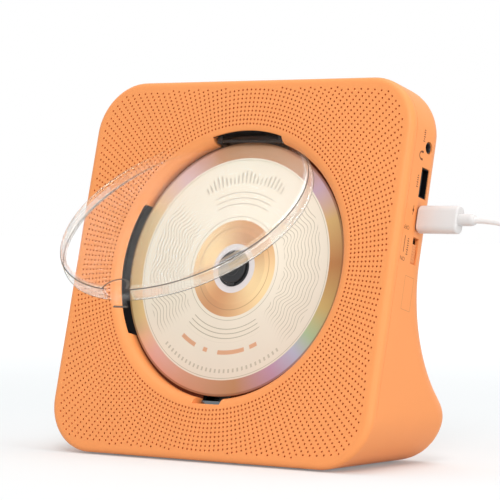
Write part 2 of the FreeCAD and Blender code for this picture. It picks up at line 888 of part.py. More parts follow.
disc_under = -s.disc_sunk - s.disc_thickness
turntable_under = disc_under - s.turntable_thickness
plate_top_z = -s.plate_drop


def rotor():
    node("disc", ring("disc_ring", s.disc_hole, s.disc_radius, disc_under, -s.disc_sunk))
    hub_radius = s.disc_hole - s.hub_clearance
    hub_top = -s.disc_sunk + s.hub_rise
    hub = turned("hub", [
        (0, turntable_under),
        (s.turntable_radius, turntable_under),
        (s.turntable_radius, disc_under),
        (hub_radius, disc_under),
        (hub_radius, hub_top),
        (0, hub_top),
    ])
    node("spindle_hub", hub)
    shaft_end = plate_top_z + s.shaft_end_gap
    node("spindle_shaft", rod("spindle", s.shaft_radius, turntable_under - shaft_end, z=shaft_end))


def spindle_motor():
    bore = s.shaft_radius + s.shaft_clearance
    can = ring("spindle_can", bore, s.spindle_motor_radius, plate_top_z, plate_top_z + s.spindle_motor_height)
    node("spindle_motor", can)


# Mechanism

gear_x = -(s.pickup_width / 2 + s.rack_width + s.gear_gap + s.gear_radius + s.tooth_height)
rack_z = plate_top_z + s.pickup_gap


def mech_plate():
    """Steel plate that hangs on the dampers and carries the rods in slotted brackets, and the motors."""
    length = s.plate_top + s.plate_bottom
    plate = block("plate", s.plate_width, length, s.plate_thickness, 0, s.plate_top - length / 2,
                  plate_top_z - s.plate_thickness)
    pieces = [plate]
    slots = []
    height = s.plate_drop - s.rod_drop + s.rod_radius
    for label, side in SIDES:
        for place, y in (("start", -s.rod_start), ("end", -s.rod_end)):
            pieces.append(block(f"rod_bracket_{label}_{place}", s.bracket_width, s.bracket_length, height,
                                side * s.rod_spread, y, plate_top_z))
        slots.append(block(f"rod_slot_{label}", (s.rod_radius + s.rod_clearance) * 2, s.rod_end * 2,
                           s.rod_drop, side * s.rod_spread, -s.rod_end,
                           -s.rod_drop - s.rod_radius - s.rod_clearance))
    slots.append(rod("gear_shaft_hole", s.gear_shaft_radius * 2, s.plate_thickness * 4, gear_x, -s.gear_place,
                     plate_top_z - s.plate_thickness * 2))
    node("mech_plate", cut("plate_cut", fuse("plate_solid", *pieces), *slots))


def chassis_dampers():
    made = [prism(f"damper_{number}", s.damper_radius, tray_under - plate_top_z, x, y, plate_top_z, sides=12)
            for number, (x, y) in enumerate(damper_places)]
    node("chassis_dampers", together("dampers", *made))


def guide_rods():
    made = [rod(f"guide_rod_{label}", s.rod_radius, s.rod_end - s.rod_start + s.bracket_length,
                side * s.rod_spread, -s.rod_end - s.bracket_length / 2, -s.rod_drop, along="y")
            for label, side in SIDES]
    node("guide_rods", together("rods", *made))


def pickup():
    """Sled on the two rods with the lens under the window and a rack along its left side."""
    body = block("sled_body", s.pickup_width, s.pickup_length, s.pickup_height, 0, -s.pickup_start, rack_z)
    lens_base = block("lens_base", s.lens_block, s.lens_block, s.lens_block_height, 0, -s.pickup_start,
                      rack_z + s.pickup_height)
    rack_length = s.rack_before + s.pickup_length / 2 + s.rack_behind
    rack = block("sled_rack", s.rack_width, rack_length, s.rack_height,
                 -(s.pickup_width + s.rack_width) / 2,
                 -s.pickup_start - s.rack_before + rack_length / 2, rack_z)
    solid = fuse("sled_solid", body, lens_base, rack)
    bores = [rod(f"sled_bore_{label}", s.rod_radius + s.rod_clearance, BIG, side * s.rod_spread, -BIG / 2,
                 -s.rod_drop, along="y") for label, side in SIDES]
    node("pickup_body", cut("sled", solid, *bores))
    node("pickup_lens", rod("lens", s.lens_radius, s.lens_height, 0, -s.pickup_start,
                            rack_z + s.pickup_height + s.lens_block_height))


def sled_drive():
    """Pinion beside the rack, on the shaft of a motor under the plate."""
    bore = s.gear_shaft_radius + s.shaft_clearance
    body = ring("gear_body", bore, s.gear_radius, rack_z, rack_z + s.rack_height)
    teeth = []
    for number in range(GEAR_TEETH):
        tooth = block(f"gear_tooth_{number}", s.tooth_height * 2, s.tooth_width, s.rack_height)
        doc.recompute()
        turn = FreeCAD.Rotation(FreeCAD.Vector(0, 0, 1), 360.0 * number / GEAR_TEETH)
        for axis in "xyz":
            tooth.setExpression(f"Placement.Base.{axis}", None)
        start = vector(s.gear_radius - s.tooth_height, -s.tooth_width / 2, rack_z)
        tooth.Placement = FreeCAD.Placement(turn.multVec(start), turn)
        teeth.append(tooth)
    gear = fuse("gear", body, *teeth)
    move(gear, gear_x, -s.gear_place)
    node("sled_gear", gear)
    can_top = plate_top_z - s.plate_thickness
    can = rod("sled_can", s.sled_motor_radius, s.sled_motor_height, gear_x, -s.gear_place,
              can_top - s.sled_motor_height)
    shaft = rod("sled_shaft", s.gear_shaft_radius, rack_z + s.rack_height - can_top,
                gear_x, -s.gear_place, can_top)
    node("sled_motor", fuse("sled_motor_solid", can, shaft))


# Boards, sockets, switch and buttons

board_under = inner_back + s.board_standoff
board_middle = top_edge - s.board_drop
socket_board_top = -s.socket_depth - s.socket_stand
socket_board_x = inner_x - s.socket_board_gap - s.socket_board_width / 2


def board_ribs():
    """Ribs on the back wall that carry the two boards along their edges."""
    made = []
    root = inner_back - s.wall / 2
    for label, side in SIDES:
        made.append(block(f"board_rib_{label}", s.board_rib, s.board_height, s.board_standoff + s.wall / 2,
                          side * (s.board_width - s.board_rib) / 2, board_middle, root))
    made.append(block("socket_rib", s.board_rib, s.socket_board_height,
                      socket_board_top - s.board_thickness - root,
                      socket_board_x - (s.socket_board_width - s.board_rib) / 2, s.socket_board_middle, root))
    return made


def boards():
    plate = block("main_plate", s.board_width, s.board_height, s.board_thickness, 0, board_middle,
                  board_under)
    chips = [block(f"chip_{label}", s.chip_side, s.chip_side, s.chip_height, side * s.chip_side, board_middle,
                   board_under + s.board_thickness) for label, side in SIDES]
    node("main_board", fuse("main_board_solid", plate, *chips))
    node("socket_board", block("socket_plate", s.socket_board_width, s.socket_board_height, s.board_thickness,
                               socket_board_x, s.socket_board_middle, socket_board_top - s.board_thickness))


mouth_x = half_width - s.socket_set_back


def socket_case(name, place, width, height, length):
    """A socket's block, from its mouth in the wall down to the socket board."""
    shell = block(f"{name}_shell", length, width, height, mouth_x - length / 2, place,
                  -s.socket_depth - height / 2)
    foot_length = length - s.wall - s.socket_set_back
    foot = block(f"{name}_foot", foot_length, width - s.socket_clearance * 2, s.socket_stand,
                 mouth_x - length + foot_length / 2, place, socket_board_top)
    return fuse(f"{name}_case", shell, foot)


def headphone_jack():
    case_length = s.jack_length - s.wall
    case = block("jack_case", case_length, s.jack_width, s.socket_stand + s.jack_barrel,
                 inner_x - s.socket_set_back - case_length / 2, s.jack_place, socket_board_top)
    barrel = rod("jack_barrel_bar", s.jack_barrel, s.jack_length, mouth_x - s.jack_length, s.jack_place,
                 -s.socket_depth, along="x")
    bore = rod("jack_bore_bar", s.jack_bore, s.jack_bore_depth + s.overrun, mouth_x - s.jack_bore_depth,
               s.jack_place, -s.socket_depth, along="x")
    node("headphone_jack", cut("jack", fuse("jack_solid", case, barrel), bore))


def usb_a_socket():
    case = socket_case("usb_a", s.usb_a_place, s.usb_a_width, s.usb_a_height, s.usb_a_length)
    hollow_length = s.usb_a_length - s.usb_a_skin * 4
    hollow = block("usb_a_hollow", hollow_length + s.overrun, s.usb_a_width - s.usb_a_skin * 2,
                   s.usb_a_height - s.usb_a_skin * 2, mouth_x + (s.overrun - hollow_length) / 2,
                   s.usb_a_place, -s.socket_depth - s.usb_a_height / 2 + s.usb_a_skin)
    tongue_length = hollow_length - s.usb_a_skin * 2
    tongue = block("usb_a_tongue_bar", tongue_length, s.usb_a_width - s.usb_a_skin * 6, s.usb_a_tongue,
                   mouth_x - s.usb_a_skin * 2 - tongue_length / 2, s.usb_a_place,
                   -s.socket_depth + s.usb_a_height / 2 - s.usb_a_skin - s.usb_a_tongue - s.socket_clearance)
    node("usb_a_socket", fuse("usb_a", cut("usb_a_open", case, hollow), tongue))


def usb_c_socket():
    case = socket_case("usb_c", s.usb_c_place, s.usb_c_width, s.usb_c_height, s.usb_c_length)
    hollow_length = s.usb_c_length - s.usb_c_skin * 3 + s.overrun
    hollow = block("usb_c_hollow", hollow_length, s.usb_c_width - s.usb_c_skin * 2,
                   s.usb_c_height - s.usb_c_skin * 2, mouth_x + s.overrun - hollow_length / 2, s.usb_c_place,
                   -s.socket_depth - s.usb_c_height / 2 + s.usb_c_skin)
    node("usb_c_socket", cut("usb_c", case, hollow))


def power_switch():
    """Slide switch on the socket board, and its knob in the slot of the wall at the lower end of its way."""
    case_front = inner_x - s.socket_set_back
    case_height = s.socket_stand + s.knob_width * 0.75
    case = block("switch_case", s.switch_depth, s.switch_length, case_height, case_front - s.switch_depth / 2,
                 s.switch_place, socket_board_top)
    groove_length = s.knob_stem + s.knob_travel + s.knob_gap * 2
    groove_reach = s.knob_stem_reach + s.knob_gap
    groove = block("switch_groove", groove_reach + s.overrun, groove_length, s.knob_stem + s.knob_gap * 2,
                   case_front + (s.overrun - groove_reach) / 2, s.switch_place,
                   -s.socket_depth - s.knob_stem / 2 - s.knob_gap)
    node("switch_body", cut("switch", case, groove))
    knob_y = s.switch_place - s.knob_travel / 2
    cap_start = case_front + s.knob_gap
    cap = block("knob_cap", mouth_x - cap_start, s.knob_length, s.knob_width, (mouth_x + cap_start) / 2,
                knob_y, -s.socket_depth - s.knob_width / 2)
    stem = block("knob_stem_bar", s.knob_stem_reach + s.knob_gap, s.knob_stem, s.knob_stem,
                 cap_start - (s.knob_stem_reach + s.knob_gap) / 2, knob_y, -s.socket_depth - s.knob_stem / 2)
    node("power_knob", fuse("knob", cap, stem))


stem_end = inner_top - s.button_flange_gap - s.button_flange_height - s.button_stem_length


def push_buttons():
    """Caps in the top wall, each held by a flange under the wall, over a row of small switches."""
    flange_top = inner_top - s.button_flange_gap
    flange_low = flange_top - s.button_flange_height
    for label, x in zip(BUTTON_NAMES, button_places):
        cap_height = top_edge + s.button_rise - flange_low
        cap = block(f"{label}_cap", s.button_width, cap_height, s.button_depth, x,
                    flange_low + cap_height / 2, -s.socket_depth - s.button_depth / 2)
        flange_depth = s.button_depth + s.button_flange * 2
        flange = block(f"{label}_flange", s.button_width + s.button_flange * 2, s.button_flange_height,
                       flange_depth, x, flange_low + s.button_flange_height / 2,
                       -s.socket_depth - flange_depth / 2)
        stem = block(f"{label}_stem", s.button_stem, s.button_stem_length + s.button_flange_height,
                     s.button_stem, x, flange_top - (s.button_stem_length + s.button_flange_height) / 2,
                     -s.socket_depth - s.button_stem / 2)
        node(label, fuse(f"{label}_solid", cap, flange, stem))


def button_board():
    tact_top = stem_end - s.button_travel - s.tact_gap
    board_top = tact_top - s.tact_height
    depth = -inner_back - s.button_board_front
    plate = block("button_plate", s.button_board_width, s.board_thickness, depth, 0,
                  board_top - s.board_thickness / 2, inner_back)
    tacts = [block(f"{label}_tact", s.tact_side, s.tact_height, s.tact_side, x, tact_top - s.tact_height / 2,
                   -s.socket_depth - s.tact_side / 2) for label, x in zip(BUTTON_NAMES, button_places)]
    node("button_board", fuse("button_board_solid", plate, *tacts))


# Speakers and battery

def speakers():
    """Two small drivers behind the lower corners of the perforated face."""
    flange_top = -s.face_wall
    basket_top = flange_top - s.speaker_flange
    basket_end = basket_top - s.speaker_depth
    frames = []
    cones = []
    magnets = []
    for label, side in SIDES:
        place = (side * (half_width - s.speaker_inset), s.speaker_inset - s.well_height)
        flange = block(f"speaker_flange_{label}", s.speaker_side, s.speaker_side, s.speaker_flange, *place,
                       basket_top)
        basket = block(f"speaker_basket_{label}", s.basket_side, s.basket_side, s.speaker_depth, *place,
                       basket_end)
        mouth = rod(f"speaker_mouth_{label}", s.speaker_mouth, s.speaker_depth + s.speaker_flange, *place,
                    basket_end + s.speaker_skin)
        frames.append(cut(f"speaker_frame_{label}", fuse(f"speaker_solid_{label}", flange, basket), mouth))
        cones.append(rod(f"speaker_paper_{label}", s.speaker_mouth - s.cone_gap, s.cone_depth, *place,
                         basket_end + s.speaker_skin))
        magnets.append(rod(f"speaker_magnet_{label}", s.magnet_radius, s.magnet_height, *place,
                           basket_end - s.magnet_height))
    node("speaker_frames", together("frames", *frames))
    node("speaker_cones", together("cones", *cones))
    node("speaker_magnets", together("magnets", *magnets))


def battery_pack():
    cells = rod("battery_cells", s.battery_radius, s.battery_length, -s.battery_length / 2, s.battery_back,
                s.battery_up, along="x")
    node("battery_pack", cells, UPRIGHT)


# Cable

def rounded_bar(name, length, width, height, start_x, y, z, radius):
    """A bar along x with rounded long edges."""
    bar = block(name, length, width, height, start_x + length / 2, y, z - height / 2)
    return rounded(f"{name}_round", bar, radius,
                   lambda edge: abs(edge.tangentAt(edge.FirstParameter).x) > 0.9)


plug_start = half_width + s.plug_stand_off
relief_start = plug_start + s.plug_length
cord_start = relief_start + s.relief_length


def plug():
    tongue = block("plug_tongue", s.plug_tongue_length + s.plug_stand_off, s.plug_tongue_width,
                   s.plug_tongue_height, plug_start - (s.plug_tongue_length + s.plug_stand_off) / 2,
                   s.usb_c_place, -s.socket_depth - s.plug_tongue_height / 2)
    node("plug_shell", tongue)
    node("plug_grip", rounded_bar("grip", s.plug_length, s.plug_width, s.plug_height, plug_start,
                                  s.usb_c_place, -s.socket_depth, s.plug_round))
    node("strain_relief", rod("relief", s.relief_radius, s.relief_length, relief_start,
                              s.usb_c_place, -s.socket_depth, along="x"))


def bend(start, corner, end):
    """An arc that is tangent to two legs of equal length which meet at a corner."""
    leg = (corner - start).Length
    chord_middle = (start + end) / 2
    towards = chord_middle - corner
    half_turn = math.pi / 2 - (start - corner).getAngle(end - corner) / 2
    radius = leg / math.tan(half_turn)
    lift = radius / math.cos(half_turn) - radius
    return Part.Arc(start, corner + towards.normalize() * lift, end), radius


def cord_path(points):
    """Straight runs joined by arcs that are as large as the runs allow."""
    edges = []
    radii = []
    here = points[0]
    for before, corner, after in zip(points, points[1:], points[2:]):
        arriving = corner - before
        leaving = after - corner
        leg = 0.45 * min(arriving.Length, leaving.Length)
        first = corner - arriving.normalize() * leg
        last = corner + leaving.normalize() * leg
        edges.append(Part.LineSegment(here, first))
        arc, radius = bend(first, corner, last)
        edges.append(arc)
        radii.append(radius)
        here = last
    edges.append(Part.LineSegment(here, points[-1]))
    return Part.Wire([edge.toShape() for edge in edges]), radii


def tube(path, start, direction):
    """A six-sided tube along a path, one unbroken solid; its corners lie on the round cord."""
    turn = FreeCAD.Rotation(FreeCAD.Vector(1, 0, 0), direction)
    radius = float(s.cord_radius)
    corners = []
    for number in range(CORD_SIDES + 1):
        angle = 2 * math.pi * number / CORD_SIDES
        spoke = FreeCAD.Vector(0, radius * math.cos(angle), radius * math.sin(angle))
        corners.append(start + turn.multVec(spoke))
    return path.makePipeShell([Part.makePolygon(corners)], True, False)


def cord_points():
    """The route of the cord from the plug, down to the table and along it to the coil."""
    exit_point = LEANED.multVec(vector(cord_start, s.usb_c_place, -s.socket_depth))
    table_height = float(s.cord_radius + s.tie_wall + s.tie_gap)
    points = [exit_point]
    for right, back, up in CORD_STEPS:
        points.append(exit_point + FreeCAD.Vector(right, back, up))
    for right, back in (CORD_LANDING, CORD_END):
        points.append(FreeCAD.Vector(exit_point.x + right, exit_point.y + back, table_height))
    return points


def coil_path(start):
    """Half turns that wind in on the lower layer, climb, and wind out again on the upper one."""
    count = int(float(s.coil_half_turns))
    pitch = float(s.coil_pitch)
    radii = [float(s.coil_outer) - number * pitch / 2 for number in range(count)]
    climb_radius = float(s.coil_outer) - count * pitch / 2
    lead_in = float(s.cord_radius) * 2
    edges = []
    here = start + FreeCAD.Vector(lead_in, 0, 0)
    edges.append(Part.LineSegment(start, here))
    way = 1.0
    for radius in radii + [climb_radius] + radii[::-1]:
        rise = pitch if radius == climb_radius else 0.0
        there = here + FreeCAD.Vector(0, 2 * radius * way, rise)
        leg = (there - here).Length / 2
        first_corner = here + FreeCAD.Vector(leg * way, 0, 0)
        second_corner = there + FreeCAD.Vector(leg * way, 0, 0)
        middle = (first_corner + second_corner) / 2
        edges.append(bend(here, first_corner, middle)[0])
        edges.append(bend(middle, second_corner, there)[0])
        here = there
        way = -way
    there = here + FreeCAD.Vector(float(s.coil_lead_out) * way, 0, 0)
    edges.append(Part.LineSegment(here, there))
    return Part.Wire([edge.toShape() for edge in edges]), there, way


def least_gap(path):
    """Least clear distance between turns of a wound tube, measured on points along it."""
    step = float(s.cord_radius) / 2
    points = path.discretize(Distance=step)
    skip = int(6 * float(s.cord_radius) / step)
    least = BIG
    for number, point in enumerate(points):
        for other in points[number + skip:]:
            least = min(least, point.distanceToPoint(other))
    return least - 2 * float(s.cord_radius)


def solid_of(name, shape):
    """A swept solid, kept as it was made."""
    thing = doc.addObject("Part::Feature", name)
    thing.Shape = shape
    return thing


def cable():
    """Cord, put-away coil with its tie, and the plug at the far end."""
    points = cord_points()
    path, radii = cord_path(points)
    run = tube(path, points[0], points[1] - points[0])
    print("cord bend radii", [round(radius, 1) for radius in radii])
    report_tube("cord run", run, path)
    node("cord_run", solid_of("cord_run_tube", run), FreeCAD.Placement())
    winding, end, way = coil_path(points[-1])
    coil = tube(winding, points[-1], FreeCAD.Vector(1, 0, 0))
    report_tube("coil", coil, winding)
    print("coil least gap", round(least_gap(winding), 2))
    node("cord_coil", solid_of("cord_coil_tube", coil), FreeCAD.Placement())
    coil_tie(points[-1])
    far_plug(end, way)


def report_tube(name, shape, path):
    section = CORD_SIDES / 2 * math.sin(2 * math.pi / CORD_SIDES) * float(s.cord_radius) ** 2
    print(name, "length", round(path.Length, 1), "volume against section times length",
          round(shape.Volume / (section * path.Length), 4))


def coil_tie(start):
    """A thin band round the turns, at the side of the coil away from the object."""
    inside = s.tie_gap + s.cord_radius
    layers = s.coil_pitch * s.coil_half_turns / 2
    width = layers + inside * 2 + s.cord_radius / 2
    height = s.coil_pitch + inside * 2
    outer_x = start.x + s.cord_radius * 2 + s.coil_outer + inside
    y = start.y + s.coil_outer
    band = block("tie_band", width + s.tie_wall * 2, s.tie_length, height + s.tie_wall * 2,
                 outer_x - width / 2, y, 0)
    hollow = block("tie_hollow", width, s.tie_length * 2, height, outer_x - width / 2, y, s.tie_wall)
    node("coil_tie", cut("tie", band, hollow), FreeCAD.Placement())


def far_plug(end, way):
    """Strain relief and grip of the far plug in one moulding, and its metal shell."""
    run = s.far_relief_length + s.far_plug_length
    relief = rod("far_relief", s.far_relief_radius, s.far_relief_length, along="x")
    grip = rounded_bar("far_grip", s.far_plug_length, s.far_plug_width, s.far_plug_height,
                       s.far_relief_length, 0, 0, s.plug_round)
    shell = block("far_shell", s.far_tongue_length, s.far_tongue_width, s.far_tongue_height,
                  run + s.far_tongue_length / 2, 0, -s.far_tongue_height / 2)
    heading = FreeCAD.Rotation(FreeCAD.Vector(0, 0, 1), 0 if way > 0 else 180)
    place = FreeCAD.Placement(end, heading)
    node("far_plug_grip", fuse("far_moulding", relief, grip), place)
    node("far_plug_shell", shell, place)


def check_and_write():
    """Stop at any failed object; then write each piece to its own file."""
    doc.recompute()
    failed = [item.Name for item in doc.Objects if {"Invalid", "Error"} & set(item.State)]
    if failed:
        raise RuntimeError(f"failed objects: {failed}")
    for label, thing in nodes.items():
        if thing.Shape.isNull() or not thing.Shape.isValid() or not thing.Shape.Solids:
            raise RuntimeError(f"bad shape: {label}")
    os.makedirs("parts", exist_ok=True)
    for label, thing in nodes.items():
        thing.Shape.exportStep(f"parts/{label}.step")
    print(len(nodes), "pieces")


front_cover()
rear_shell()
foot_pads()
case_screws()
disc_tray()
hinge_bracket()
lid()
lid_catch()
rotor()
spindle_motor()
mech_plate()
chassis_dampers()
guide_rods()
pickup()
sled_drive()
boards()
headphone_jack()
usb_a_socket()
usb_c_socket()
power_switch()
push_buttons()
button_board()
speakers()
battery_pack()
plug()
cable()
check_and_write()
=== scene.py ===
import math

import bmesh
import bpy
from bpy.props import FloatProperty, FloatVectorProperty, IntProperty, PointerProperty
from mathutils import Matrix, Vector


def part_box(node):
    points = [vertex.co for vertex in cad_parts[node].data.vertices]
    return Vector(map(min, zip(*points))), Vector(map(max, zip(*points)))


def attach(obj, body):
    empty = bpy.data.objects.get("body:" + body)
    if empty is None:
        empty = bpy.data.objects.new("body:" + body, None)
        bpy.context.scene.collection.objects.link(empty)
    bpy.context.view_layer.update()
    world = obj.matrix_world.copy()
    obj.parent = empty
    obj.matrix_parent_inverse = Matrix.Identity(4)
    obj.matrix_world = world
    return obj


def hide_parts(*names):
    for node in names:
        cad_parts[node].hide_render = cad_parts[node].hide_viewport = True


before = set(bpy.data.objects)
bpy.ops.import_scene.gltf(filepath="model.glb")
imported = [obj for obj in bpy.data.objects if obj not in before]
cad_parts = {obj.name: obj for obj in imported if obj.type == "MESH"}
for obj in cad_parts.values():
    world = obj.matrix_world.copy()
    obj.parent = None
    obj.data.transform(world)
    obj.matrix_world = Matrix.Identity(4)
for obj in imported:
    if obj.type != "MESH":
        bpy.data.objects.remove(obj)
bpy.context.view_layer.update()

bl_info = {
    "name": "Desktop CD player",
    "version": (1, 0, 0),
    "blender": (4, 5, 0),
    "location": "3D View > Sidebar > CD player",
    "description": "Dresses the packed CD player: perforated housing, clear lid, disc, sockets and cable",
    "category": "Object",
}

MM = 0.001

# The frame of the well: millimetres, x to the right, y up the leaning face, z out of it.
LEAN = math.radians(14.0)
DISC_DEPTH = 6.6
DISC_MIDDLE = sum(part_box("disc"), Vector()) / 2
WELL = (Matrix.Translation(DISC_MIDDLE) @ Matrix.Rotation(math.pi / 2 - LEAN, 4, "X")
        @ Matrix.Scale(MM, 4) @ Matrix.Translation((0, 0, DISC_DEPTH)))
HINGE = Vector((0, 60.2, -4.2))
LID_SWING = math.radians(-39.5)
OPEN_LID = (WELL @ Matrix.Translation(HINGE) @ Matrix.Rotation(LID_SWING, 4, "X")
            @ Matrix.Translation(-HINGE))
TABLE = Matrix.Scale(MM, 4)

# Places in that frame
BEYOND = 200.0  # past every point of the housing
FACE_Y = -1.0  # middle of the face
TAB_Y = -60.3  # middle of the lid's finger tab
LIP_REACH = 66.6  # just outside the lip
SLOT_HALF, SLOT_RADIUS = 19.5, 64.5  # hinge slot
NOTCH_HALF, NOTCH_Y = 7.7, -64.6  # notch for the catch
RECESS_LOW, RECESS_HIGH, RECESS_RADIUS = -33.0, 29.0, 66.1  # finger recesses
RECESS_TOP = -2.594  # they begin under the crest of the lip
# below these heights the faces are painted shade: the slot and recesses take the darker black, the ledge the
# brown of the holes
SLOT_DARK, RECESS_DARK, LEDGE_DARK = -1.6, -2.7, -7.9  # dark faces lie below these heights
QUARTER = 30.0  # tells the four sides of the lip apart
FOOT_START, FOOT_RUN = -64.0, 20.0  # where the rim begins to turn upright, and over how far
SOCKET_Z, MOUTH_X, SIDE_X = -16.0, 89.6, 90.03
JACK_Y, WIDE_Y, SMALL_Y, SWITCH_Y = 59.4, 43.0, 26.5, 10.7
CAP_TOP = 89.68


def linear(red, green, blue):
    """A screen colour as the light that it stands for."""
    parts = [part / 255 for part in (red, green, blue)]
    return tuple(part / 12.92 if part <= 0.04045 else ((part + 0.055) / 1.055) ** 2.4 for part in parts)


def length(title, note, millimetres):
    return FloatProperty(name=title, description=note, default=millimetres * MM, unit="LENGTH", precision=5)


def tint(title, note, *screen):
    return FloatVectorProperty(name=title, description=note, default=linear(*screen), subtype="COLOR",
                               min=0.0, max=1.0)


class PlayerSizes(bpy.types.PropertyGroup):
    """Sizes that shape the dressed pieces."""
    face: length("Face", "Side of the square face", 180.0)
    corner: length("Corner", "Radius of the corners of the face", 25.0)
    edge: length("Edge", "Radius of the soft edge round the face", 3.0)
    well: length("Well", "Radius of the disc well", 61.6)
    lip: length("Lip", "Radius of the soft lip of the well", 4.9)
    hole: length("Hole", "Radius of one hole of the perforated face", 0.52)
    hole_pitch: length("Hole pitch", "Distance between rings of holes", 2.05)
    hole_rows: IntProperty(name="Hole rows", description="Rows of holes that run out from the well",
                           default=216)
    lid: length("Lid", "Outer radius of the clear lid", 60.3)
    lid_rise: length("Lid rise", "How far the lid swells in its middle", 2.2)
    label_inner: length("Label inside", "Inner radius of the printed label", 22.9)
    label_outer: length("Label outside", "Outer radius of the printed label", 52.5)
    cord: length("Cord", "Diameter of the cord", 3.0)


class PlayerLook(bpy.types.PropertyGroup):
    """Colours of the finishes."""
    orange: tint("Housing", "Moulded plastic of the housing", 250, 159, 93)
    # hole_shade is painted shade: dark brown for the shade down in the holes and in the gap under the disc
    hole_shade: tint("Hole shade", "Painted shade down the holes and under the disc", 110, 50, 20)
    cream: tint("Label", "Paper white of the disc label", 243, 228, 209)
    ink: tint("Label ink", "Fine lines on the label", 176, 160, 134)
    dash: tint("Label dashes", "Warm blocks on the label", 226, 160, 116)
    # the two golds are the lighter and the darker side of the disc's painted sheen
    gold: tint("Disc gold", "Light side of the gold layer", 254, 220, 166)
    shaded_gold: tint("Disc copper", "Dark side of the gold layer", 214, 156, 110)
    black: tint("Black", "Black mouldings", 30, 30, 32)
    white: tint("Cable white", "White mouldings of the cable", 223, 219, 217)
    sign: tint("Signs", "Printed signs beside the sockets", 120, 62, 26)


class Term:
    """A socket that takes part in Python sums; each sum adds its Math node."""

    def __init__(self, finish, socket):
        self.finish = finish
        self.socket = socket

    def math(self, operation, *others):
        return self.finish.node("Math", dict(enumerate((self, *others))), {"operation": operation})

    def __add__(self, other):
        return self.math("ADD", other)

    __radd__ = __add__

    def __sub__(self, other):
        return self.math("SUBTRACT", other)

    def __rsub__(self, other):
        return self * -1.0 + other

    def __mul__(self, other):
        return self.math("MULTIPLY", other)

    __rmul__ = __mul__

    def __truediv__(self, other):
        return self.math("DIVIDE", other)

    def __abs__(self):
        return self.math("ABSOLUTE")

    def __lt__(self, other):
        return self.math("LESS_THAN", other)

    def __gt__(self, other):
        return self.math("GREATER_THAN", other)


class Finish:
    """A material under construction, with its one surface shader."""

    def __init__(self, name, **constants):
        self.material = bpy.data.materials.new(name)
        self.material.use_nodes = True
        self.tree = self.material.node_tree
        self.shader = self.tree.nodes["Principled BSDF"]
        self.surface(**constants)

    def feed(self, node, sockets):
        for key, value in sockets.items():
            if isinstance(value, Term):
                self.tree.links.new(value.socket, node.inputs[key])
            else:
                node.inputs[key].default_value = value

    def node(self, kind, sockets=None, settings=None, output=0):
        """Any node: its kind, its socket values or links, its settings, and the output that is wanted."""
        node = self.tree.nodes.new(f"ShaderNode{kind}")
        for key, value in (settings or {}).items():
            if key == "stops":
                ramp = node.color_ramp
                while len(ramp.elements) < len(value):
                    ramp.elements.new(1.0)
                for element, (place, colour) in zip(ramp.elements, value):
                    element.position = place
                    element.color = (*colour, 1.0)
            else:
                setattr(node, key, value)
        self.feed(node, sockets or {})
        return Term(self, node.outputs[output])

    def surface(self, **sockets):
        self.feed(self.shader, {key.replace("_", " "): value for key, value in sockets.items()})
        return self.material

    def own_shader(self):
        return Term(self, self.shader.outputs[0])

    def covered(self, shader):
        """Let another shader stand on the material's output."""
        self.feed(self.tree.nodes["Material Output"], {"Surface": shader})
        return self.material

    def point(self, place=WELL):
        """Object coordinates in a piece's own frame, in millimetres."""
        where, turn, scale = place.decompose()
        here = self.node("TexCoord", output="Object")
        return self.node("Mapping", {"Vector": here, "Location": where, "Rotation": turn.to_euler(),
                                     "Scale": scale}, {"vector_type": "TEXTURE"})

    def axes(self, point):
        node = self.node("SeparateXYZ", {"Vector": point}).socket.node
        return [Term(self, output) for output in node.outputs]

    def noise(self, point, scale, detail=2.0, rough=0.5):
        return self.node("TexNoise", {"Vector": point, "Scale": scale, "Detail": detail, "Roughness": rough})

    def mix(self, factor, first, second):
        """Two colours, each a socket or red, green and blue."""
        sockets = {0: factor}
        for key, colour in ((6, first), (7, second)):
            sockets[key] = colour if isinstance(colour, Term) else (*colour, 1.0)
        return self.node("Mix", sockets, {"data_type": "RGBA"}, output=2)

    def bump(self, height, strength, distance):
        return self.node("Bump", {"Height": height, "Strength": strength, "Distance": distance * MM})

    def ramp(self, value, start, end, low=0.0, high=1.0):
        """A soft change from low to high between two limits."""
        return self.node("MapRange", {0: value, 1: start, 2: end, 3: low, 4: high},
                         {"interpolation_type": "SMOOTHSTEP"})

    def band(self, value, low, high, soft=0.12):
        """One between two limits, with soft ends."""
        return self.ramp(value, low - soft, low + soft) * self.ramp(value, high - soft, high + soft, 1.0, 0.0)


class Sky(Finish):
    """The world under construction, with the same way to add nodes."""

    def __init__(self, name):
        self.world = bpy.data.worlds.new(name)
        self.world.use_nodes = True
        self.tree = self.world.node_tree


def look():
    return bpy.context.scene.player_look


def sizes():
    return bpy.context.scene.player_sizes


def shade(colour, amount):
    """A colour made darker or lighter."""
    return tuple(min(1.0, part * amount) for part in colour)


def reach(x, y):
    """Distance from the axis."""
    return (x * x + y * y).math("SQRT")


# Finishes

def moulded(name, colour, rough, grain=3.5, depth=0.02, coat=0.0):
    """Moulded plastic with a fine eroded skin and slight clouding."""
    finish = Finish(name, IOR=1.48, Coat_Weight=coat, Coat_Roughness=0.12)
    point = finish.point()
    broad = finish.noise(point, 0.035, 3.0)
    fine = finish.noise(point, grain, 3.0, 0.6)
    return finish.surface(
        Base_Color=finish.mix(broad, shade(colour, 0.955), shade(colour, 1.035)),
        Roughness=rough - 0.05 + fine * 0.1,
        Normal=finish.bump(fine, 0.35, depth))


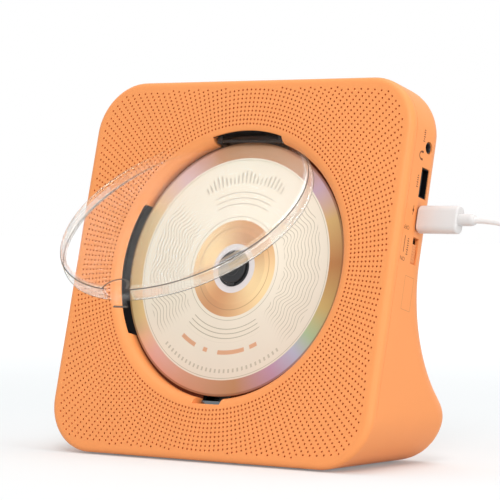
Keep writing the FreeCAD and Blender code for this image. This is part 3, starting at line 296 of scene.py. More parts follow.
def housing_plastic(name):
    """Orange plastic of the housing; its right side carries the faint joint of a service cover."""
    finish = Finish(name, IOR=1.46, Specular_IOR_Level=0.3)
    point = finish.point()
    x, y, z = finish.axes(point)
    broad = finish.noise(point, 0.03, 3.0)
    fine = finish.noise(point, 3.2, 3.0, 0.6)
    # how far a point is outside the cover's outline
    cover = (abs(y + 7.5) - 7.5).math("MAXIMUM", abs(z + 15.2) - 3.6)
    joint = (1.0 - finish.band(cover, -BEYOND, -0.12, 0.06)) * (abs(cover) < 0.14) * (x > 89.0)
    colour = finish.mix(broad, shade(look().orange, 0.965), shade(look().orange, 1.03))
    return finish.surface(
        Base_Color=finish.mix(joint * 0.45, colour, shade(look().orange, 0.45)),
        Roughness=0.40 + fine * 0.12,
        Normal=finish.bump(fine - joint * 2.0, 0.3, 0.02))


def lid_front(finish, y):
    """One over most of the lid, fading out before the hinge."""
    return finish.band(y, -BEYOND, 36.0, 16.0)


def clear_plastic():
    """Clear lid plastic: a flat that is all but unseen and a glassier skirt; lamp light passes."""
    finish = Finish("clear_lid", Base_Color=(0.985, 0.99, 0.99, 1.0), Transmission_Weight=1.0, IOR=1.38)
    point = finish.point(OPEN_LID)
    x, y, _ = finish.axes(point)
    smear = finish.noise(point, 0.05)
    finish.surface(Roughness=smear * 0.02)
    front = lid_front(finish, y)
    skirt = finish.band(reach(x, y), 57.4, 70.0, 0.2) * (reach(x, y - TAB_Y) > 7.8) * front
    through = finish.node("BsdfTransparent")
    mirror = finish.node("BsdfGlossy", {"Color": (1.0, 1.0, 1.0, 1.0), "Roughness": 0.04})
    shadow = finish.node("LightPath", output="Is Shadow Ray")
    open_share = (0.985 - skirt * 0.36).math("MAXIMUM", shadow)
    plain = finish.node("MixShader", {0: open_share, 1: finish.own_shader(), 2: through})
    sheen = (smear * 0.05 * front + skirt * 0.04) * (1.0 - shadow)
    return finish.covered(finish.node("MixShader", {0: sheen, 1: plain, 2: mirror}))


def lid_edge():
    """Edges of the clear lid with a thin dark line painted on them: painted shade for the little light that
    these edges gather.
    """
    finish = Finish("lid_edge", IOR=1.45, Specular_IOR_Level=0.1)
    point = finish.point(OPEN_LID)
    patchy = finish.noise(point, 0.12, 3.0)
    _, y, _ = finish.axes(point)
    return finish.surface(Base_Color=finish.mix(patchy, (0.03, 0.022, 0.016), (0.2, 0.17, 0.14)),
                          Roughness=0.4 + patchy * 0.15, Alpha=lid_front(finish, y) * 0.92)


def printed_disc():
    """Gold disc with a cream printed label, a fine ring and a clear middle."""
    finish = Finish("printed_disc", IOR=1.45, Specular_IOR_Level=0.3, Coat_Weight=0.06, Coat_Roughness=0.1)
    point = finish.point()
    x, y, _ = finish.axes(point)
    radius = reach(x, y)
    angle = y.math("ARCTAN2", x)

    def ring(low, high, soft=0.1):
        return finish.band(radius, low, high, soft)

    def sector(low, high, soft=0.01):
        return finish.band(angle, low, high, soft)

    def wave(value, often):
        return (value * often).math("SINE")

    # the bare layer, in painted reflections set by angle: a painted sheen of lighter and darker gold near the
    # middle, and painted iridescence in many colours further out
    stops = [(place, linear(*screen)) for place, *screen in (
        (0.00, 244, 206, 146), (0.07, 246, 214, 152), (0.13, 234, 182, 170), (0.19, 220, 160, 132),
        (0.28, 196, 140, 98), (0.34, 196, 150, 172), (0.38, 188, 184, 204), (0.41, 178, 194, 152),
        (0.45, 208, 172, 108), (0.51, 186, 124, 74), (0.57, 212, 172, 112), (0.62, 200, 170, 186),
        (0.66, 204, 158, 124), (0.80, 204, 152, 112), (0.86, 232, 206, 208), (0.92, 246, 222, 172),
        (1.00, 244, 206, 146))]
    painted_rainbow = finish.node("ValToRGB", {0: angle / (2 * math.pi) + 0.5}, {"stops": stops})
    # painted sheen: wedges of lighter and darker gold by angle
    sheen = (angle * 2.0 + 0.9).math("COSINE") * 0.5 + 0.5
    metal = finish.mix(ring(40.0, 70.0, 4.0), finish.mix(sheen, look().shaded_gold, look().gold), painted_rainbow)
    metal = finish.mix(ring(19.4, 19.8, 0.12) * 0.6, metal, shade(look().shaded_gold, 0.7))

    # the label: thin rings at its borders, fans of waves to both sides, arcs and a scale above and below,
    # and a broken row of warm blocks
    inner, outer = sizes().label_inner / MM, sizes().label_outer / MM
    label = ring(inner, outer)
    cloud = finish.noise(point, 0.04)
    # painted light: the label lighter towards the upper left, standing in for the lid's sheen there; the
    # cloud adds random tone
    tone_and_painted_light = cloud * 0.4 + (y - x) * 0.008 + 0.3
    paper = finish.mix(tone_and_painted_light, shade(look().cream, 0.97), shade(look().cream, 1.18))
    rims = ring(outer - 1.0, outer - 0.75) + ring(24.4, 24.65)
    fans = finish.band(abs(abs(angle) - 1.6), 0.85, 9.0, 0.1) * ring(28.0, 48.0, 0.3)
    ripple = radius + wave(angle, 9.0) * 1.6 + wave(angle, 23.0) * 0.7
    comb = (wave(ripple, 3.3) > 0.8) * fans
    under = (wave(radius, 2.9) > 0.84) * ring(27.0, 35.0, 0.2) * sector(-2.25, -0.95, 0.02)
    over = (wave(radius, 2.3) > 0.9) * ring(29.0, 37.0, 0.2) * sector(1.1, 2.04, 0.02)
    ticks = ring(40.6, 45.0 + wave(angle, 17.0) * 1.4) * sector(1.02, 2.12)
    scale = ring(47.4, 49.2) * sector(-2.3, -0.84)
    dials = (ticks + scale) * (wave(angle, 120.0) > 0.35)
    lines = (rims + comb * 0.8 + under + over * 0.8 + dials * 0.7).math("MINIMUM", 1.0)
    row = ring(38.6, 40.6, 0.12) * sector(-2.2, -1.0)
    blocks = row * (wave(angle, 27.0) + wave(angle, 8.0) > -0.25)
    inked = finish.mix(lines * 0.8, paper, look().ink)
    inked = finish.mix(blocks * 0.85, inked, look().dash)

    colour = finish.mix(label, metal, inked)
    # painted shade: the disc's outer edge darkened brown, where the lip shades it
    colour = finish.mix(ring(59.0, 70.0, 0.2) * 0.65, colour, linear(150, 92, 56))
    middle = ring(0.0, 11.6, 0.15)
    colour = finish.mix(middle, colour, linear(232, 222, 220))
    return finish.surface(
        Base_Color=colour,
        Metallic=(1.0 - label) * (1.0 - middle) * 0.15,
        Roughness=0.30 + label * 0.3 + cloud * 0.05)


def brushed_metal(name, colour, rough):
    finish = Finish(name, Metallic=1.0)
    point = finish.point()
    x, y, z = finish.axes(point)
    streak = finish.noise(finish.node("CombineXYZ", {0: x * 12.0, 1: y, 2: z}), 1.6, 3.0)
    return finish.surface(
        Base_Color=finish.mix(streak, shade(colour, 0.8), colour),
        Roughness=rough + streak * 0.12,
        Normal=finish.bump(streak, 0.15, 0.01))


def sign_ink():
    finish = Finish("sign_ink", IOR=1.45)
    patchy = finish.noise(finish.point(), 2.0, 3.0)
    return finish.surface(Base_Color=finish.mix(patchy, look().sign, shade(look().sign, 1.3)),
                          Roughness=0.5 + patchy * 0.1)


def circuit_board(name):
    """Green board with paler tracks."""
    finish = Finish(name, IOR=1.5, Coat_Weight=0.4)
    point = finish.point()
    cells = finish.node("TexVoronoi", {"Vector": point, "Scale": 0.35},
                        {"distance": "MANHATTAN", "feature": "F1"})
    track = finish.band(cells, 0.30, 0.42, 0.03)
    return finish.surface(Base_Color=finish.mix(track, linear(22, 84, 52), linear(64, 128, 84)),
                          Roughness=0.35 + track * 0.1, Normal=finish.bump(track, 0.3, 0.03))


FINISHES = {}


def make_finishes():
    """Every finish that the pieces share."""
    white, black = look().white, look().black
    FINISHES.update({
        "housing": housing_plastic("housing_orange"),
        # painted shade: the dark brown of the hole floors and of the ledge under the disc
        "hole": moulded("hole_painted_shade", look().hole_shade, 0.85, 5.0, 0.08),
        "knob": moulded("knob_orange", shade(look().orange, 0.88), 0.45),
        "black": moulded("black_plastic", black, 0.42),
        # a darker copy of the black mouldings: painted shade for the slot, the recesses and the hinge bracket
        # and pin
        "deep": moulded("shaded_black", linear(14, 14, 15), 0.6, 2.0, 0.04),
        "tray": moulded("tray_black", shade(black, 0.8), 0.5, 2.0, 0.04),
        "clear": clear_plastic(),
        "edge": lid_edge(),
        "disc": printed_disc(),
        "steel": brushed_metal("steel", linear(196, 198, 202), 0.24),
        "keeper": brushed_metal("keeper_steel", linear(118, 124, 128), 0.16),
        "contact": brushed_metal("contact_gold", linear(226, 188, 110), 0.2),
        "dark": brushed_metal("dark_shell", linear(44, 44, 46), 0.45),
        "iron": brushed_metal("magnet_iron", linear(96, 98, 104), 0.4),
        "white": moulded("white_plastic", white, 0.38, 4.0, 0.012),
        "cord": moulded("cord_skin", shade(white, 1.22), 0.5, 2.2, 0.02),
        "rubber": moulded("pad_rubber", linear(52, 52, 54), 0.8, 2.5, 0.06),
        "paper": moulded("cone_paper", linear(60, 58, 56), 0.85, 1.2, 0.1),
        "lens": moulded("lens_glass", linear(70, 60, 120), 0.06, 1.0, 0.002, 0.8),
        "board": circuit_board("board_green"),
        "wrap": moulded("battery_wrap", linear(70, 120, 190), 0.35, 1.0, 0.02, 0.3),
        "tie": moulded("tie_black", linear(34, 34, 36), 0.6, 3.0, 0.03),
        "sign": sign_ink(),
    })


# Shapes

def moved(shape, step):
    bmesh.ops.translate(shape, verts=shape.verts, vec=step)
    return shape


def turned(shape, degrees, axis):
    bmesh.ops.rotate(shape, verts=shape.verts, matrix=Matrix.Rotation(math.radians(degrees), 3, axis))
    return shape


def painted(shape, number):
    """Every face in one of the piece's finishes."""
    for face in shape.faces:
        face.material_index = number
    return shape


def to_mesh(name, shape):
    mesh = bpy.data.meshes.new(name)
    shape.to_mesh(mesh)
    shape.free()
    return mesh


def linked(name, data):
    """A new object in the scene."""
    thing = bpy.data.objects.new(name, data)
    bpy.context.scene.collection.objects.link(thing)
    return thing


def lathe(outline, steps, closed=False, at=None):
    """A shape turned about z from points of radius and height, or laid along x from a place."""
    shape = bmesh.new()
    points = [shape.verts.new((radius, 0.0, height)) for radius, height in outline]
    pairs = list(zip(points, points[1:]))
    if closed:
        pairs.append((points[-1], points[0]))
    lines = [shape.edges.new(pair) for pair in pairs]
    bmesh.ops.spin(shape, geom=points + lines, cent=(0, 0, 0), axis=(0, 0, 1), angle=2 * math.pi, steps=steps,
                   use_merge=True)
    bmesh.ops.remove_doubles(shape, verts=shape.verts, dist=0.0005)
    bmesh.ops.dissolve_degenerate(shape, edges=shape.edges, dist=0.0005)
    bmesh.ops.recalc_face_normals(shape, faces=shape.faces)
    return shape if at is None else moved(turned(shape, 90.0, "Y"), at)


def soft_box(shape, size, middle, radius=0.0, segments=3, chosen=None):
    """A box with bevelled edges, all of them or those that the test picks out."""
    place = Matrix.Translation(middle) @ Matrix.Diagonal((*size, 1.0))
    points = bmesh.ops.create_cube(shape, size=1.0, matrix=place)["verts"]
    if radius:
        edges = {edge for point in points for edge in point.link_edges}
        edges = [edge for edge in edges if chosen is None or chosen(edge)]
        bmesh.ops.bevel(shape, geom=edges, offset=radius, segments=segments, profile=0.5, affect="EDGES",
                        material=-1)
    return shape


def new_box(*form):
    return soft_box(bmesh.new(), *form)


def along(axis):
    return lambda edge: abs((edge.verts[0].co - edge.verts[1].co).normalized()[axis]) > 0.9


def merged(first, *others):
    """Several shapes in one, kept as separate skins."""
    for other in others:
        mesh = to_mesh("part", other)
        first.from_mesh(mesh)
        bpy.data.meshes.remove(mesh)
    return first


def united(*shapes):
    """Several shapes welded into one skin."""
    scratch = [linked("weld", to_mesh("weld", shape)) for shape in shapes]
    for other in scratch[1:]:
        weld = scratch[0].modifiers.new("weld", "BOOLEAN")
        weld.operation = "UNION"
        weld.solver = "EXACT"
        weld.object = other
    bpy.context.view_layer.update()
    result = bmesh.new()
    result.from_mesh(scratch[0].evaluated_get(bpy.context.evaluated_depsgraph_get()).data)
    for thing in scratch:
        bpy.data.meshes.remove(thing.data)
    return result


def piece(name, shape, finishes, replaces=None, body="housing", place=WELL, sharp=38.0):
    """Set a finished shape in the object's frame, dress it and let it ride on its body."""
    bmesh.ops.transform(shape, matrix=place, verts=shape.verts)
    mesh = to_mesh(name, shape)
    for key in finishes.split():
        mesh.materials.append(FINISHES[key])
    mesh.shade_smooth()
    mesh.set_sharp_from_angle(angle=math.radians(sharp))
    thing = linked(name, mesh)
    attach(thing, body)
    if replaces:
        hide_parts(replaces)
    return thing


def node_copy(node):
    """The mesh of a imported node, with its loose triangles joined."""
    shape = bmesh.new()
    shape.from_mesh(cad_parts[node].data)
    bmesh.ops.remove_doubles(shape, verts=shape.verts, dist=1e-6)
    return painted(shape, 0)


def even_shading(thing):
    """Flat faces stay flat where they run into rounded ones."""
    thing.modifiers.new("even_shading", "WEIGHTED_NORMAL").keep_sharp = True


def extruded(shape, border):
    """Extrude an open border; the new points, and the new border."""
    new = bmesh.ops.extrude_edge_only(shape, edges=border)["geom"]
    points = [item for item in new if isinstance(item, bmesh.types.BMVert)]
    return points, [item for item in new if isinstance(item, bmesh.types.BMEdge) and item.is_boundary]


# Front of the housing

def within_face(x, y, inset):
    """Whether a point lies inside the rounded face, drawn in by inset."""
    half = sizes().face / MM / 2 - inset
    radius = sizes().corner / MM - inset
    side = max(abs(x) - (half - radius), 0.0)
    rise = max(abs(y - FACE_Y) - (half - radius), 0.0)
    return math.hypot(side, rise) < radius


def perforated_field(shape):
    """Rings of cells round the well, each with a round hole sunk in it."""
    start = (sizes().well + sizes().lip) / MM
    pitch, hole = sizes().hole_pitch / MM, sizes().hole / MM
    inset = sizes().edge / MM + 0.2
    rings, margin, depth = 30, 0.45, 2.1
    points = bmesh.ops.create_grid(shape, x_segments=sizes().hole_rows, y_segments=rings, size=1.0)["verts"]
    for point in points:
        angle = (point.co.x + 1.0) * math.pi
        radius = start + (point.co.y + 1.0) / 2 * rings * pitch
        point.co = (radius * math.cos(angle), radius * math.sin(angle), 0.0)
    bmesh.ops.remove_doubles(shape, verts=points, dist=0.001)
    outside = [face for face in shape.faces
               if not all(within_face(point.co.x, point.co.y, inset) for point in face.verts)]
    bmesh.ops.delete(shape, geom=outside, context="FACES")
    cells = list(shape.faces)
    bmesh.ops.inset_individual(shape, faces=cells, thickness=margin, use_even_offset=True)
    bmesh.ops.bisect_edges(shape, edges=list({edge for face in cells for edge in face.edges}), cuts=1)
    for face in cells:
        middle = face.calc_center_median()
        for point in face.verts:
            point.co = middle + (point.co - middle).normalized() * hole
    floors = bmesh.ops.extrude_discrete_faces(shape, faces=cells)["faces"]
    bmesh.ops.translate(shape, verts=[point for face in floors for point in face.verts], vec=(0, 0, -depth))
    # the hole floors take the painted shade brown
    for face in floors:
        face.material_index = 1


def soft_rim():
    """The rim of the face: a short side wall, a rounded edge, and a flat that is left open."""
    rim = bmesh.new()
    half = sizes().face / MM / 2
    radius = sizes().edge / MM
    corners = bmesh.ops.create_grid(rim, x_segments=1, y_segments=1, size=half)["verts"]
    bmesh.ops.bevel(rim, geom=corners, offset=sizes().corner / MM, segments=16, profile=0.5,
                    affect="VERTICES", material=-1)
    flat = next(iter(rim.faces))
    if flat.normal.z < 0:
        flat.normal_flip()
    border = list(flat.edges)
    for depth, shrink in ((1.3, 1.0), (0.2, 0.9988)):
        points, border = extruded(rim, border)
        bmesh.ops.translate(rim, verts=points, vec=(0, 0, -depth))
        bmesh.ops.scale(rim, verts=points, vec=(shrink, shrink, 1.0))
    steps = 6
    for step in range(steps):
        low, high = (math.radians(90.0 * count / steps) for count in (step, step + 1))
        bmesh.ops.inset_region(rim, faces=[flat], thickness=radius * (math.cos(low) - math.cos(high)),
                               depth=radius * (math.sin(high) - math.sin(low)), use_even_offset=True)
    bmesh.ops.delete(rim, geom=[flat], context="FACES_ONLY")
    return moved(rim, (0, FACE_Y, -radius))


def lip_rings(shape, border):
    """Carry the inner circle of the face over the lip, down the wall of the well and onto a ledge."""
    wall, radius = sizes().well / MM, sizes().lip / MM
    turns = [math.radians(angle) for angle in (9, 18, 27, 36, 45, 54, 61.9, 62.1, 70, 80, 90)]
    stations = [(wall + radius - radius * math.sin(turn), radius * (math.cos(turn) - 1.0)) for turn in turns]
    stations += [(wall, -8.0), (wall - 4.0, -8.0), (wall - 4.0, -8.4)]
    for ring, height in stations:
        points, border = extruded(shape, border)
        for point in points:
            scale = ring / math.hypot(point.co.x, point.co.y)
            point.co = (point.co.x * scale, point.co.y * scale, height)


def on_lip(face):
    middle = face.calc_center_median()
    return middle.z < -0.0001 and math.hypot(middle.x, middle.y) < LIP_REACH


def crease(shape, where, way, side):
    """Two cuts close together across the lip, so that a wall can stand between them."""
    for gap in (0.0, 0.03):
        chosen = [face for face in shape.faces if on_lip(face) and side(face.calc_center_median())]
        geometry = {item for face in chosen for item in (face, *face.edges, *face.verts)}
        bmesh.ops.bisect_plane(shape, geom=list(geometry), dist=0.0001, plane_co=Vector(way) * (where - gap),
                               plane_no=way)


def open_recesses(shape):
    """Hinge slot at the top of the lip, finger recesses at both sides and a notch for the catch below."""
    for side in (-1, 1):
        crease(shape, SLOT_HALF, (side, 0, 0), lambda middle: middle.y > QUARTER)
        crease(shape, NOTCH_HALF, (side, 0, 0), lambda middle: middle.y < -QUARTER)
    for side, end in ((-1, -RECESS_LOW), (1, RECESS_HIGH)):
        crease(shape, end, (0, side, 0), lambda middle: abs(middle.x) > QUARTER)
    snap = 0.02
    for point in {point for face in shape.faces if on_lip(face) for point in face.verts}:
        x, y, z = point.co
        radius = math.hypot(x, y)
        if abs(x) < SLOT_HALF - snap and y > 0 and radius < SLOT_RADIUS:
            point.co = (x * SLOT_RADIUS / radius, y * SLOT_RADIUS / radius, z)
        elif abs(x) < NOTCH_HALF - snap and NOTCH_Y < y < 0:
            point.co.y = NOTCH_Y
        elif RECESS_LOW + snap < y < RECESS_HIGH - snap and z < RECESS_TOP:
            point.co = (x * RECESS_RADIUS / radius, y * RECESS_RADIUS / radius, z)
    # Deep in the slot and the recesses the walls take the darker black, painted shade; in the slot it also
    # covers the orange wall just under the edge. The ledge under the disc takes the painted shade brown.
    for face in filter(on_lip, shape.faces):
        x, y, z = face.calc_center_median()
        radius = math.hypot(x, y)
        in_slot = abs(x) < SLOT_HALF - 0.1 and y > 0 and -0.3 < radius - SLOT_RADIUS < 0.1
        in_recess = RECESS_LOW + 0.1 < y < RECESS_HIGH - 0.1 and radius > RECESS_RADIUS - 0.1
        if in_slot and z < SLOT_DARK or in_recess and z < RECESS_DARK:
            face.material_index = 2
        elif z < LEDGE_DARK:
            face.material_index = 1


def face_shape():
    shape = bmesh.new()
    perforated_field(shape)
    start = (sizes().well + sizes().lip) / MM
    merged(shape, soft_rim())
    level = [edge for edge in shape.edges
             if edge.is_boundary and all(abs(point.co.z) < 0.001 for point in edge.verts)]
    circle = [edge for edge in level
              if all(math.hypot(point.co.x, point.co.y) < start + 0.01 for point in edge.verts)]
    ragged = [edge for edge in level if edge not in set(circle)]
    bmesh.ops.triangle_fill(shape, use_beauty=True, edges=ragged, normal=(0, 0, 1))
    lip_rings(shape, circle)
    open_recesses(shape)
    for point in shape.verts:
        x, y, z = point.co
        if y < FOOT_START and z < -0.001 and not within_face(x, y, 3.4):
            point.co.y -= z * math.tan(LEAN) * min(1.0, (FOOT_START - y) / FOOT_RUN)
    bmesh.ops.recalc_face_normals(shape, faces=shape.faces)
    return shape


class PLAYER_OT_front(bpy.types.Operator):
    """Make the perforated front with its soft rim, lip and recesses"""
    bl_idname = "player.front"
    bl_label = "Front"

    def execute(self, context):
        even_shading(piece("front_face", face_shape(), "housing hole deep", "front_cover"))
        return {"FINISHED"}


class PLAYER_OT_rear(bpy.types.Operator):
    """Make the back of the housing with its hollow and its deep foot"""
    bl_idname = "player.rear"
    bl_label = "Rear shell"

    def execute(self, context):
        even_shading(piece("rear_body", node_copy("rear_shell"), "housing", "rear_shell",
                           place=Matrix(), sharp=32.0))
        return {"FINISHED"}


# Lid, disc and the pieces in the well

def lid_outline():
    """Radius and height of the lid's skin, over the top, round the skirt and back under."""
    radius = sizes().lid / MM
    rise = sizes().lid_rise / MM
    top, wall, edge, bottom = 1.9, 1.8, 2.8, -4.4
    flat = radius - edge
    inside = radius - wall

    def dome(height, shares):
        return [(flat * share, height + rise * (1.0 - share ** 2)) for share in shares]

    def bend(size, angles):
        turns = [math.radians(angle) for angle in angles]
        return [(flat + size * math.cos(turn), top - edge + size * math.sin(turn)) for turn in turns]

    return (dome(top, (0.0, 0.25, 0.5, 0.7, 0.85, 1.0)) + bend(edge, (80, 70, 60, 50, 40, 30, 20, 10, 0))
            + [(radius, bottom + 0.5), (radius - 0.15, bottom + 0.15), (radius - 0.5, bottom),
               (inside + 0.5, bottom), (inside + 0.15, bottom + 0.15), (inside, bottom + 0.5)]
            + bend(edge - wall, (0, 30, 60, 90)) + dome(top - wall, (0.85, 0.7, 0.5, 0.25, 0.0)))


def lid_shape():
    shell = lathe(lid_outline(), 160)
    knuckle = lathe([(0.0, -15.5), (1.2, -15.5), (1.5, -15.2), (1.5, 15.2), (1.2, 15.5), (0.0, 15.5)], 24,
                    at=HINGE)
    arm = new_box((31.0, 4.6, 2.0), (0, HINGE.y - 2.3, HINGE.z), 0.3)
    tab_radius, tab_inner, tab_end = 7.2, 6.1, -62.0
    tab = lathe([(0.0, -0.9), (7.0, -0.9), (tab_radius, -0.7), (tab_radius, 2.3), (7.05, 2.5), (6.8, 2.55),
                 (tab_inner, 2.55), (0.0, 2.5)], 64)
    moved(tab, (0, TAB_Y, 0))
    cut = bmesh.ops.bisect_plane(tab, geom=[*tab.verts, *tab.edges, *tab.faces], dist=0.0001,
                                 plane_co=(0, tab_end, 0), plane_no=(0, -1, 0), clear_outer=True)["geom_cut"]
    bmesh.ops.contextual_create(tab, geom=[item for item in cut if isinstance(item, bmesh.types.BMEdge)])
    hook = new_box((8.0, 1.3, 7.4), (0, -61.35, -3.2), 0.25)
    lid = united(shell, knuckle, arm, tab, hook)
    # the rim, the brim, the tab's edge and the hook's end take the painted dark line of the edges
    for face in lid.faces:
        x, y, z = face.calc_center_median()
        radius = math.hypot(x, y)
        from_tab = math.hypot(x, y - TAB_Y)
        rim = radius > 59.7 and z < -3.95 and from_tab > 5.0
        brim = 59.2 < radius < 59.75 and 0.8 < z < 1.35
        tab_edge = tab_inner < from_tab < tab_radius and y > -60.5 and z > 2.2
        hook_end = z < -6.0 and abs(x) < 4.1 and y < -60.5
        face.material_index = int(rim or brim or tab_edge or hook_end)
    return lid


class PLAYER_OT_lid(bpy.types.Operator):
    """Make the clear lid with its knuckle, finger tab and hook"""
    bl_idname = "player.lid"
    bl_label = "Lid"

    def execute(self, context):
        piece("clear_lid", lid_shape(), "clear edge", "lid", "lid", OPEN_LID, 30.0)
        return {"FINISHED"}


class PLAYER_OT_disc(bpy.types.Operator):
    """Make the printed disc and the hub that holds it"""
    bl_idname = "player.disc"
    bl_label = "Disc"

    def execute(self, context):
        disc = lathe([(7.5, -7.1), (7.5, -6.1), (7.6, -6.0), (16.6, -6.0), (16.8, -5.9), (17.4, -5.9),
                      (17.6, -6.0), (59.8, -6.0), (60.0, -6.15), (60.0, -7.05), (59.8, -7.2), (7.6, -7.2)],
                     192, closed=True)
        piece("printed_disc", disc, "disc", "disc", "rotor")
        hub = lathe([(0.0, -9.0), (14.0, -9.0), (14.0, -7.5), (13.7, -7.2), (7.3, -7.2), (7.3, -4.7),
                     (6.9, -4.25), (4.0, -4.2), (3.7, -4.5), (1.6, -4.5), (1.3, -4.3), (0.0, -4.3)], 72)
        ring = lathe([(7.6, -5.95), (8.6, -5.95), (8.6, -5.8), (7.6, -5.7)], 72, closed=True)
        clips = [turned(new_box((2.6, 4.4, 1.3), (6.9, 0, -5.3), 0.4), angle, "Z")
                 for angle in (30, 150, 270)]
        piece("disc_hub", merged(hub, ring, *clips), "black", "spindle_hub", "rotor")
        return {"FINISHED"}


class PLAYER_OT_catch(bpy.types.Operator):
    """Make the bright keeper that the lid's hook snaps behind"""
    bl_idname = "player.catch"
    bl_label = "Catch"

    def execute(self, context):
        shape = new_box((11.6, 2.0, 5.0), (0, -63.4, -7.0), 0.35)
        soft_box(shape, (11.6, 6.2, 1.2), (0, -65.5, -8.9), 0.2)
        piece("catch_keeper", shape, "keeper", "lid_catch")
        return {"FINISHED"}


# Sockets, switch and buttons
def cup(size, middle, wall, depth, radius):
    """A box along x whose +x end is hollowed out, with a rounded rim."""
    shape = new_box(size, middle, radius, 3, along(0))
    end = max(shape.faces, key=lambda face: (face.calc_center_median().x, face.calc_area()))
    bmesh.ops.inset_region(shape, faces=[end], thickness=wall, use_even_offset=True)
    floor = bmesh.ops.extrude_discrete_faces(shape, faces=[end])["faces"]
    bmesh.ops.translate(shape, verts=floor[0].verts, vec=(-depth, 0, 0))
    return shape


class PLAYER_OT_sockets(bpy.types.Operator):
    """Make the headphone jack and the two sockets on the right edge"""
    bl_idname = "player.sockets"
    bl_label = "Sockets"

    def execute(self, context):
        jack = lathe([(1.8, 0.0), (1.8, 9.5), (2.0, 9.8), (2.35, 9.8), (2.5, 9.6), (2.5, 0.0)], 48,
                     closed=True, at=(MOUTH_X - 10.0, JACK_Y, SOCKET_Z))
        back = lathe([(0.0, 0.0), (1.9, 0.0), (1.9, 0.4), (0.0, 0.5)], 32,
                     at=(MOUTH_X - 9.8, JACK_Y, SOCKET_Z))
        case = new_box((9.0, 7.0, 5.5), (MOUTH_X - 7.0, JACK_Y, -16.25), 0.4)
        piece("jack_barrel", merged(jack, back, case), "black", "headphone_jack")

        # the shell in dark metal: painted shade for its shaded inside
        shell = cup((14.0, 13.2, 5.8), (MOUTH_X - 7.0, WIDE_Y, SOCKET_Z), 0.4, 12.4, 0.5)
        soft_box(shell, (11.6, 12.6, 3.0), (MOUTH_X - 8.4, WIDE_Y, -17.5), 0.2)
        # inner faces that look out of the mouth take a lighter grey metal: a painted glint
        for face in shell.faces:
            if face.normal.x > 0.9 and face.calc_center_median().x < MOUTH_X - 1.0:
                face.material_index = 3
        tongue = new_box((11.6, 10.8, 1.8), (MOUTH_X - 6.6, WIDE_Y, -14.6), 0.25)
        contacts = bmesh.new()
        for y in (-3.6, -1.2, 1.2, 3.6):
            soft_box(contacts, (9.0, 1.2, 0.16), (MOUTH_X - 5.8, WIDE_Y + y, -15.52), 0.05, 1)
        piece("wide_socket", merged(shell, painted(tongue, 1), painted(contacts, 2)),
              "dark black contact iron", "usb_a_socket")

        small = cup((9.0, 9.4, 3.5), (MOUTH_X - 4.5, SMALL_Y, SOCKET_Z), 0.35, 7.9, 1.5)
        foot = new_box((6.4, 8.8, 3.0), (MOUTH_X - 5.8, SMALL_Y, -17.5), 0.2)
        piece("small_socket", merged(small, foot), "steel", "usb_c_socket")
        return {"FINISHED"}


class PLAYER_OT_switch(bpy.types.Operator):
    """Make the ribbed knob of the power switch"""
    bl_idname = "player.switch"
    bl_label = "Power switch"

    def execute(self, context):
        knob = new_box((1.9, 8.8, 4.0), (MOUTH_X - 1.15, SWITCH_Y, SOCKET_Z), 0.25)
        for y in (-3.6, -2.4, -1.2, 0.0, 1.2, 2.4, 3.6):
            soft_box(knob, (0.6, 0.55, 3.5), (MOUTH_X - 0.3, SWITCH_Y + y, SOCKET_Z), 0.18, 2)
        soft_box(knob, (3.6, 2.0, 2.0), (MOUTH_X - 3.5, SWITCH_Y, SOCKET_Z), 0.15, 2)
        piece("switch_knob", knob, "knob", "power_knob", "power_knob")
        return {"FINISHED"}


# the sign of each button: the way its arrow points, if it has one, and the place and size of its bars
SIGNS = {
    "button_previous": (-1, ((-1.5, 0.35, 2.0),)),
    "button_play": (1, ((1.9, 0.35, 2.0), (2.7, 0.35, 2.0))),
    "button_next": (1, ((1.5, 0.35, 2.0),)),
    "button_quieter": (0, ((0.0, 2.4, 0.4),)),
    "button_louder": (0, ((0.0, 2.4, 0.4), (0.0, 0.4, 2.4))),
}


def sign_for(name, middle_x):
    """The raised sign on a button cap: an arrow, bars or both."""
    shape = bmesh.new()
    way, bars = SIGNS[name]
    if way:
        bmesh.ops.create_circle(shape, cap_ends=True, segments=3, radius=1.1)
        turned(turned(shape, -90.0 * way, "Z"), -90.0, "X")
        moved(shape, (middle_x, CAP_TOP + 0.04, SOCKET_Z))
    for x, wide, deep in bars:
        soft_box(shape, (wide, 0.05, deep), (middle_x + x, CAP_TOP + 0.02, SOCKET_Z))
    return painted(shape, 1)


class PLAYER_OT_buttons(bpy.types.Operator):
    """Make the five push buttons of the top edge with their plain signs"""
    bl_idname = "player.buttons"
    bl_label = "Buttons"

    def execute(self, context):
        for number, name in enumerate(SIGNS):
            x = (number - 2) * 18.0
            cap = new_box((12.4, 5.2, 5.2), (x, 87.1, SOCKET_Z), 0.5, 4)
            soft_box(cap, (14.4, 2.3, 7.2), (x, 85.55, SOCKET_Z), 0.2, 2)
            soft_box(cap, (2.6, 3.0, 2.6), (x, 84.05, SOCKET_Z))
            piece(f"{name}_cap", merged(cap, sign_for(name, x)), "knob sign", name, name)
        return {"FINISHED"}


def printed(text, height, place):
    """Plain lettering as a flat mesh, set on its place."""
    letters = bpy.data.curves.new("letters", "FONT")
    letters.body = text
    letters.size = height
    letters.align_x = letters.align_y = "CENTER"
    thing = linked("letters", letters)
    bpy.context.view_layer.update()
    shape = bmesh.new()
    shape.from_mesh(bpy.data.meshes.new_from_object(
        thing.evaluated_get(bpy.context.evaluated_depsgraph_get())))
    bpy.data.objects.remove(thing)
    bmesh.ops.transform(shape, matrix=place, verts=shape.verts)
    return shape


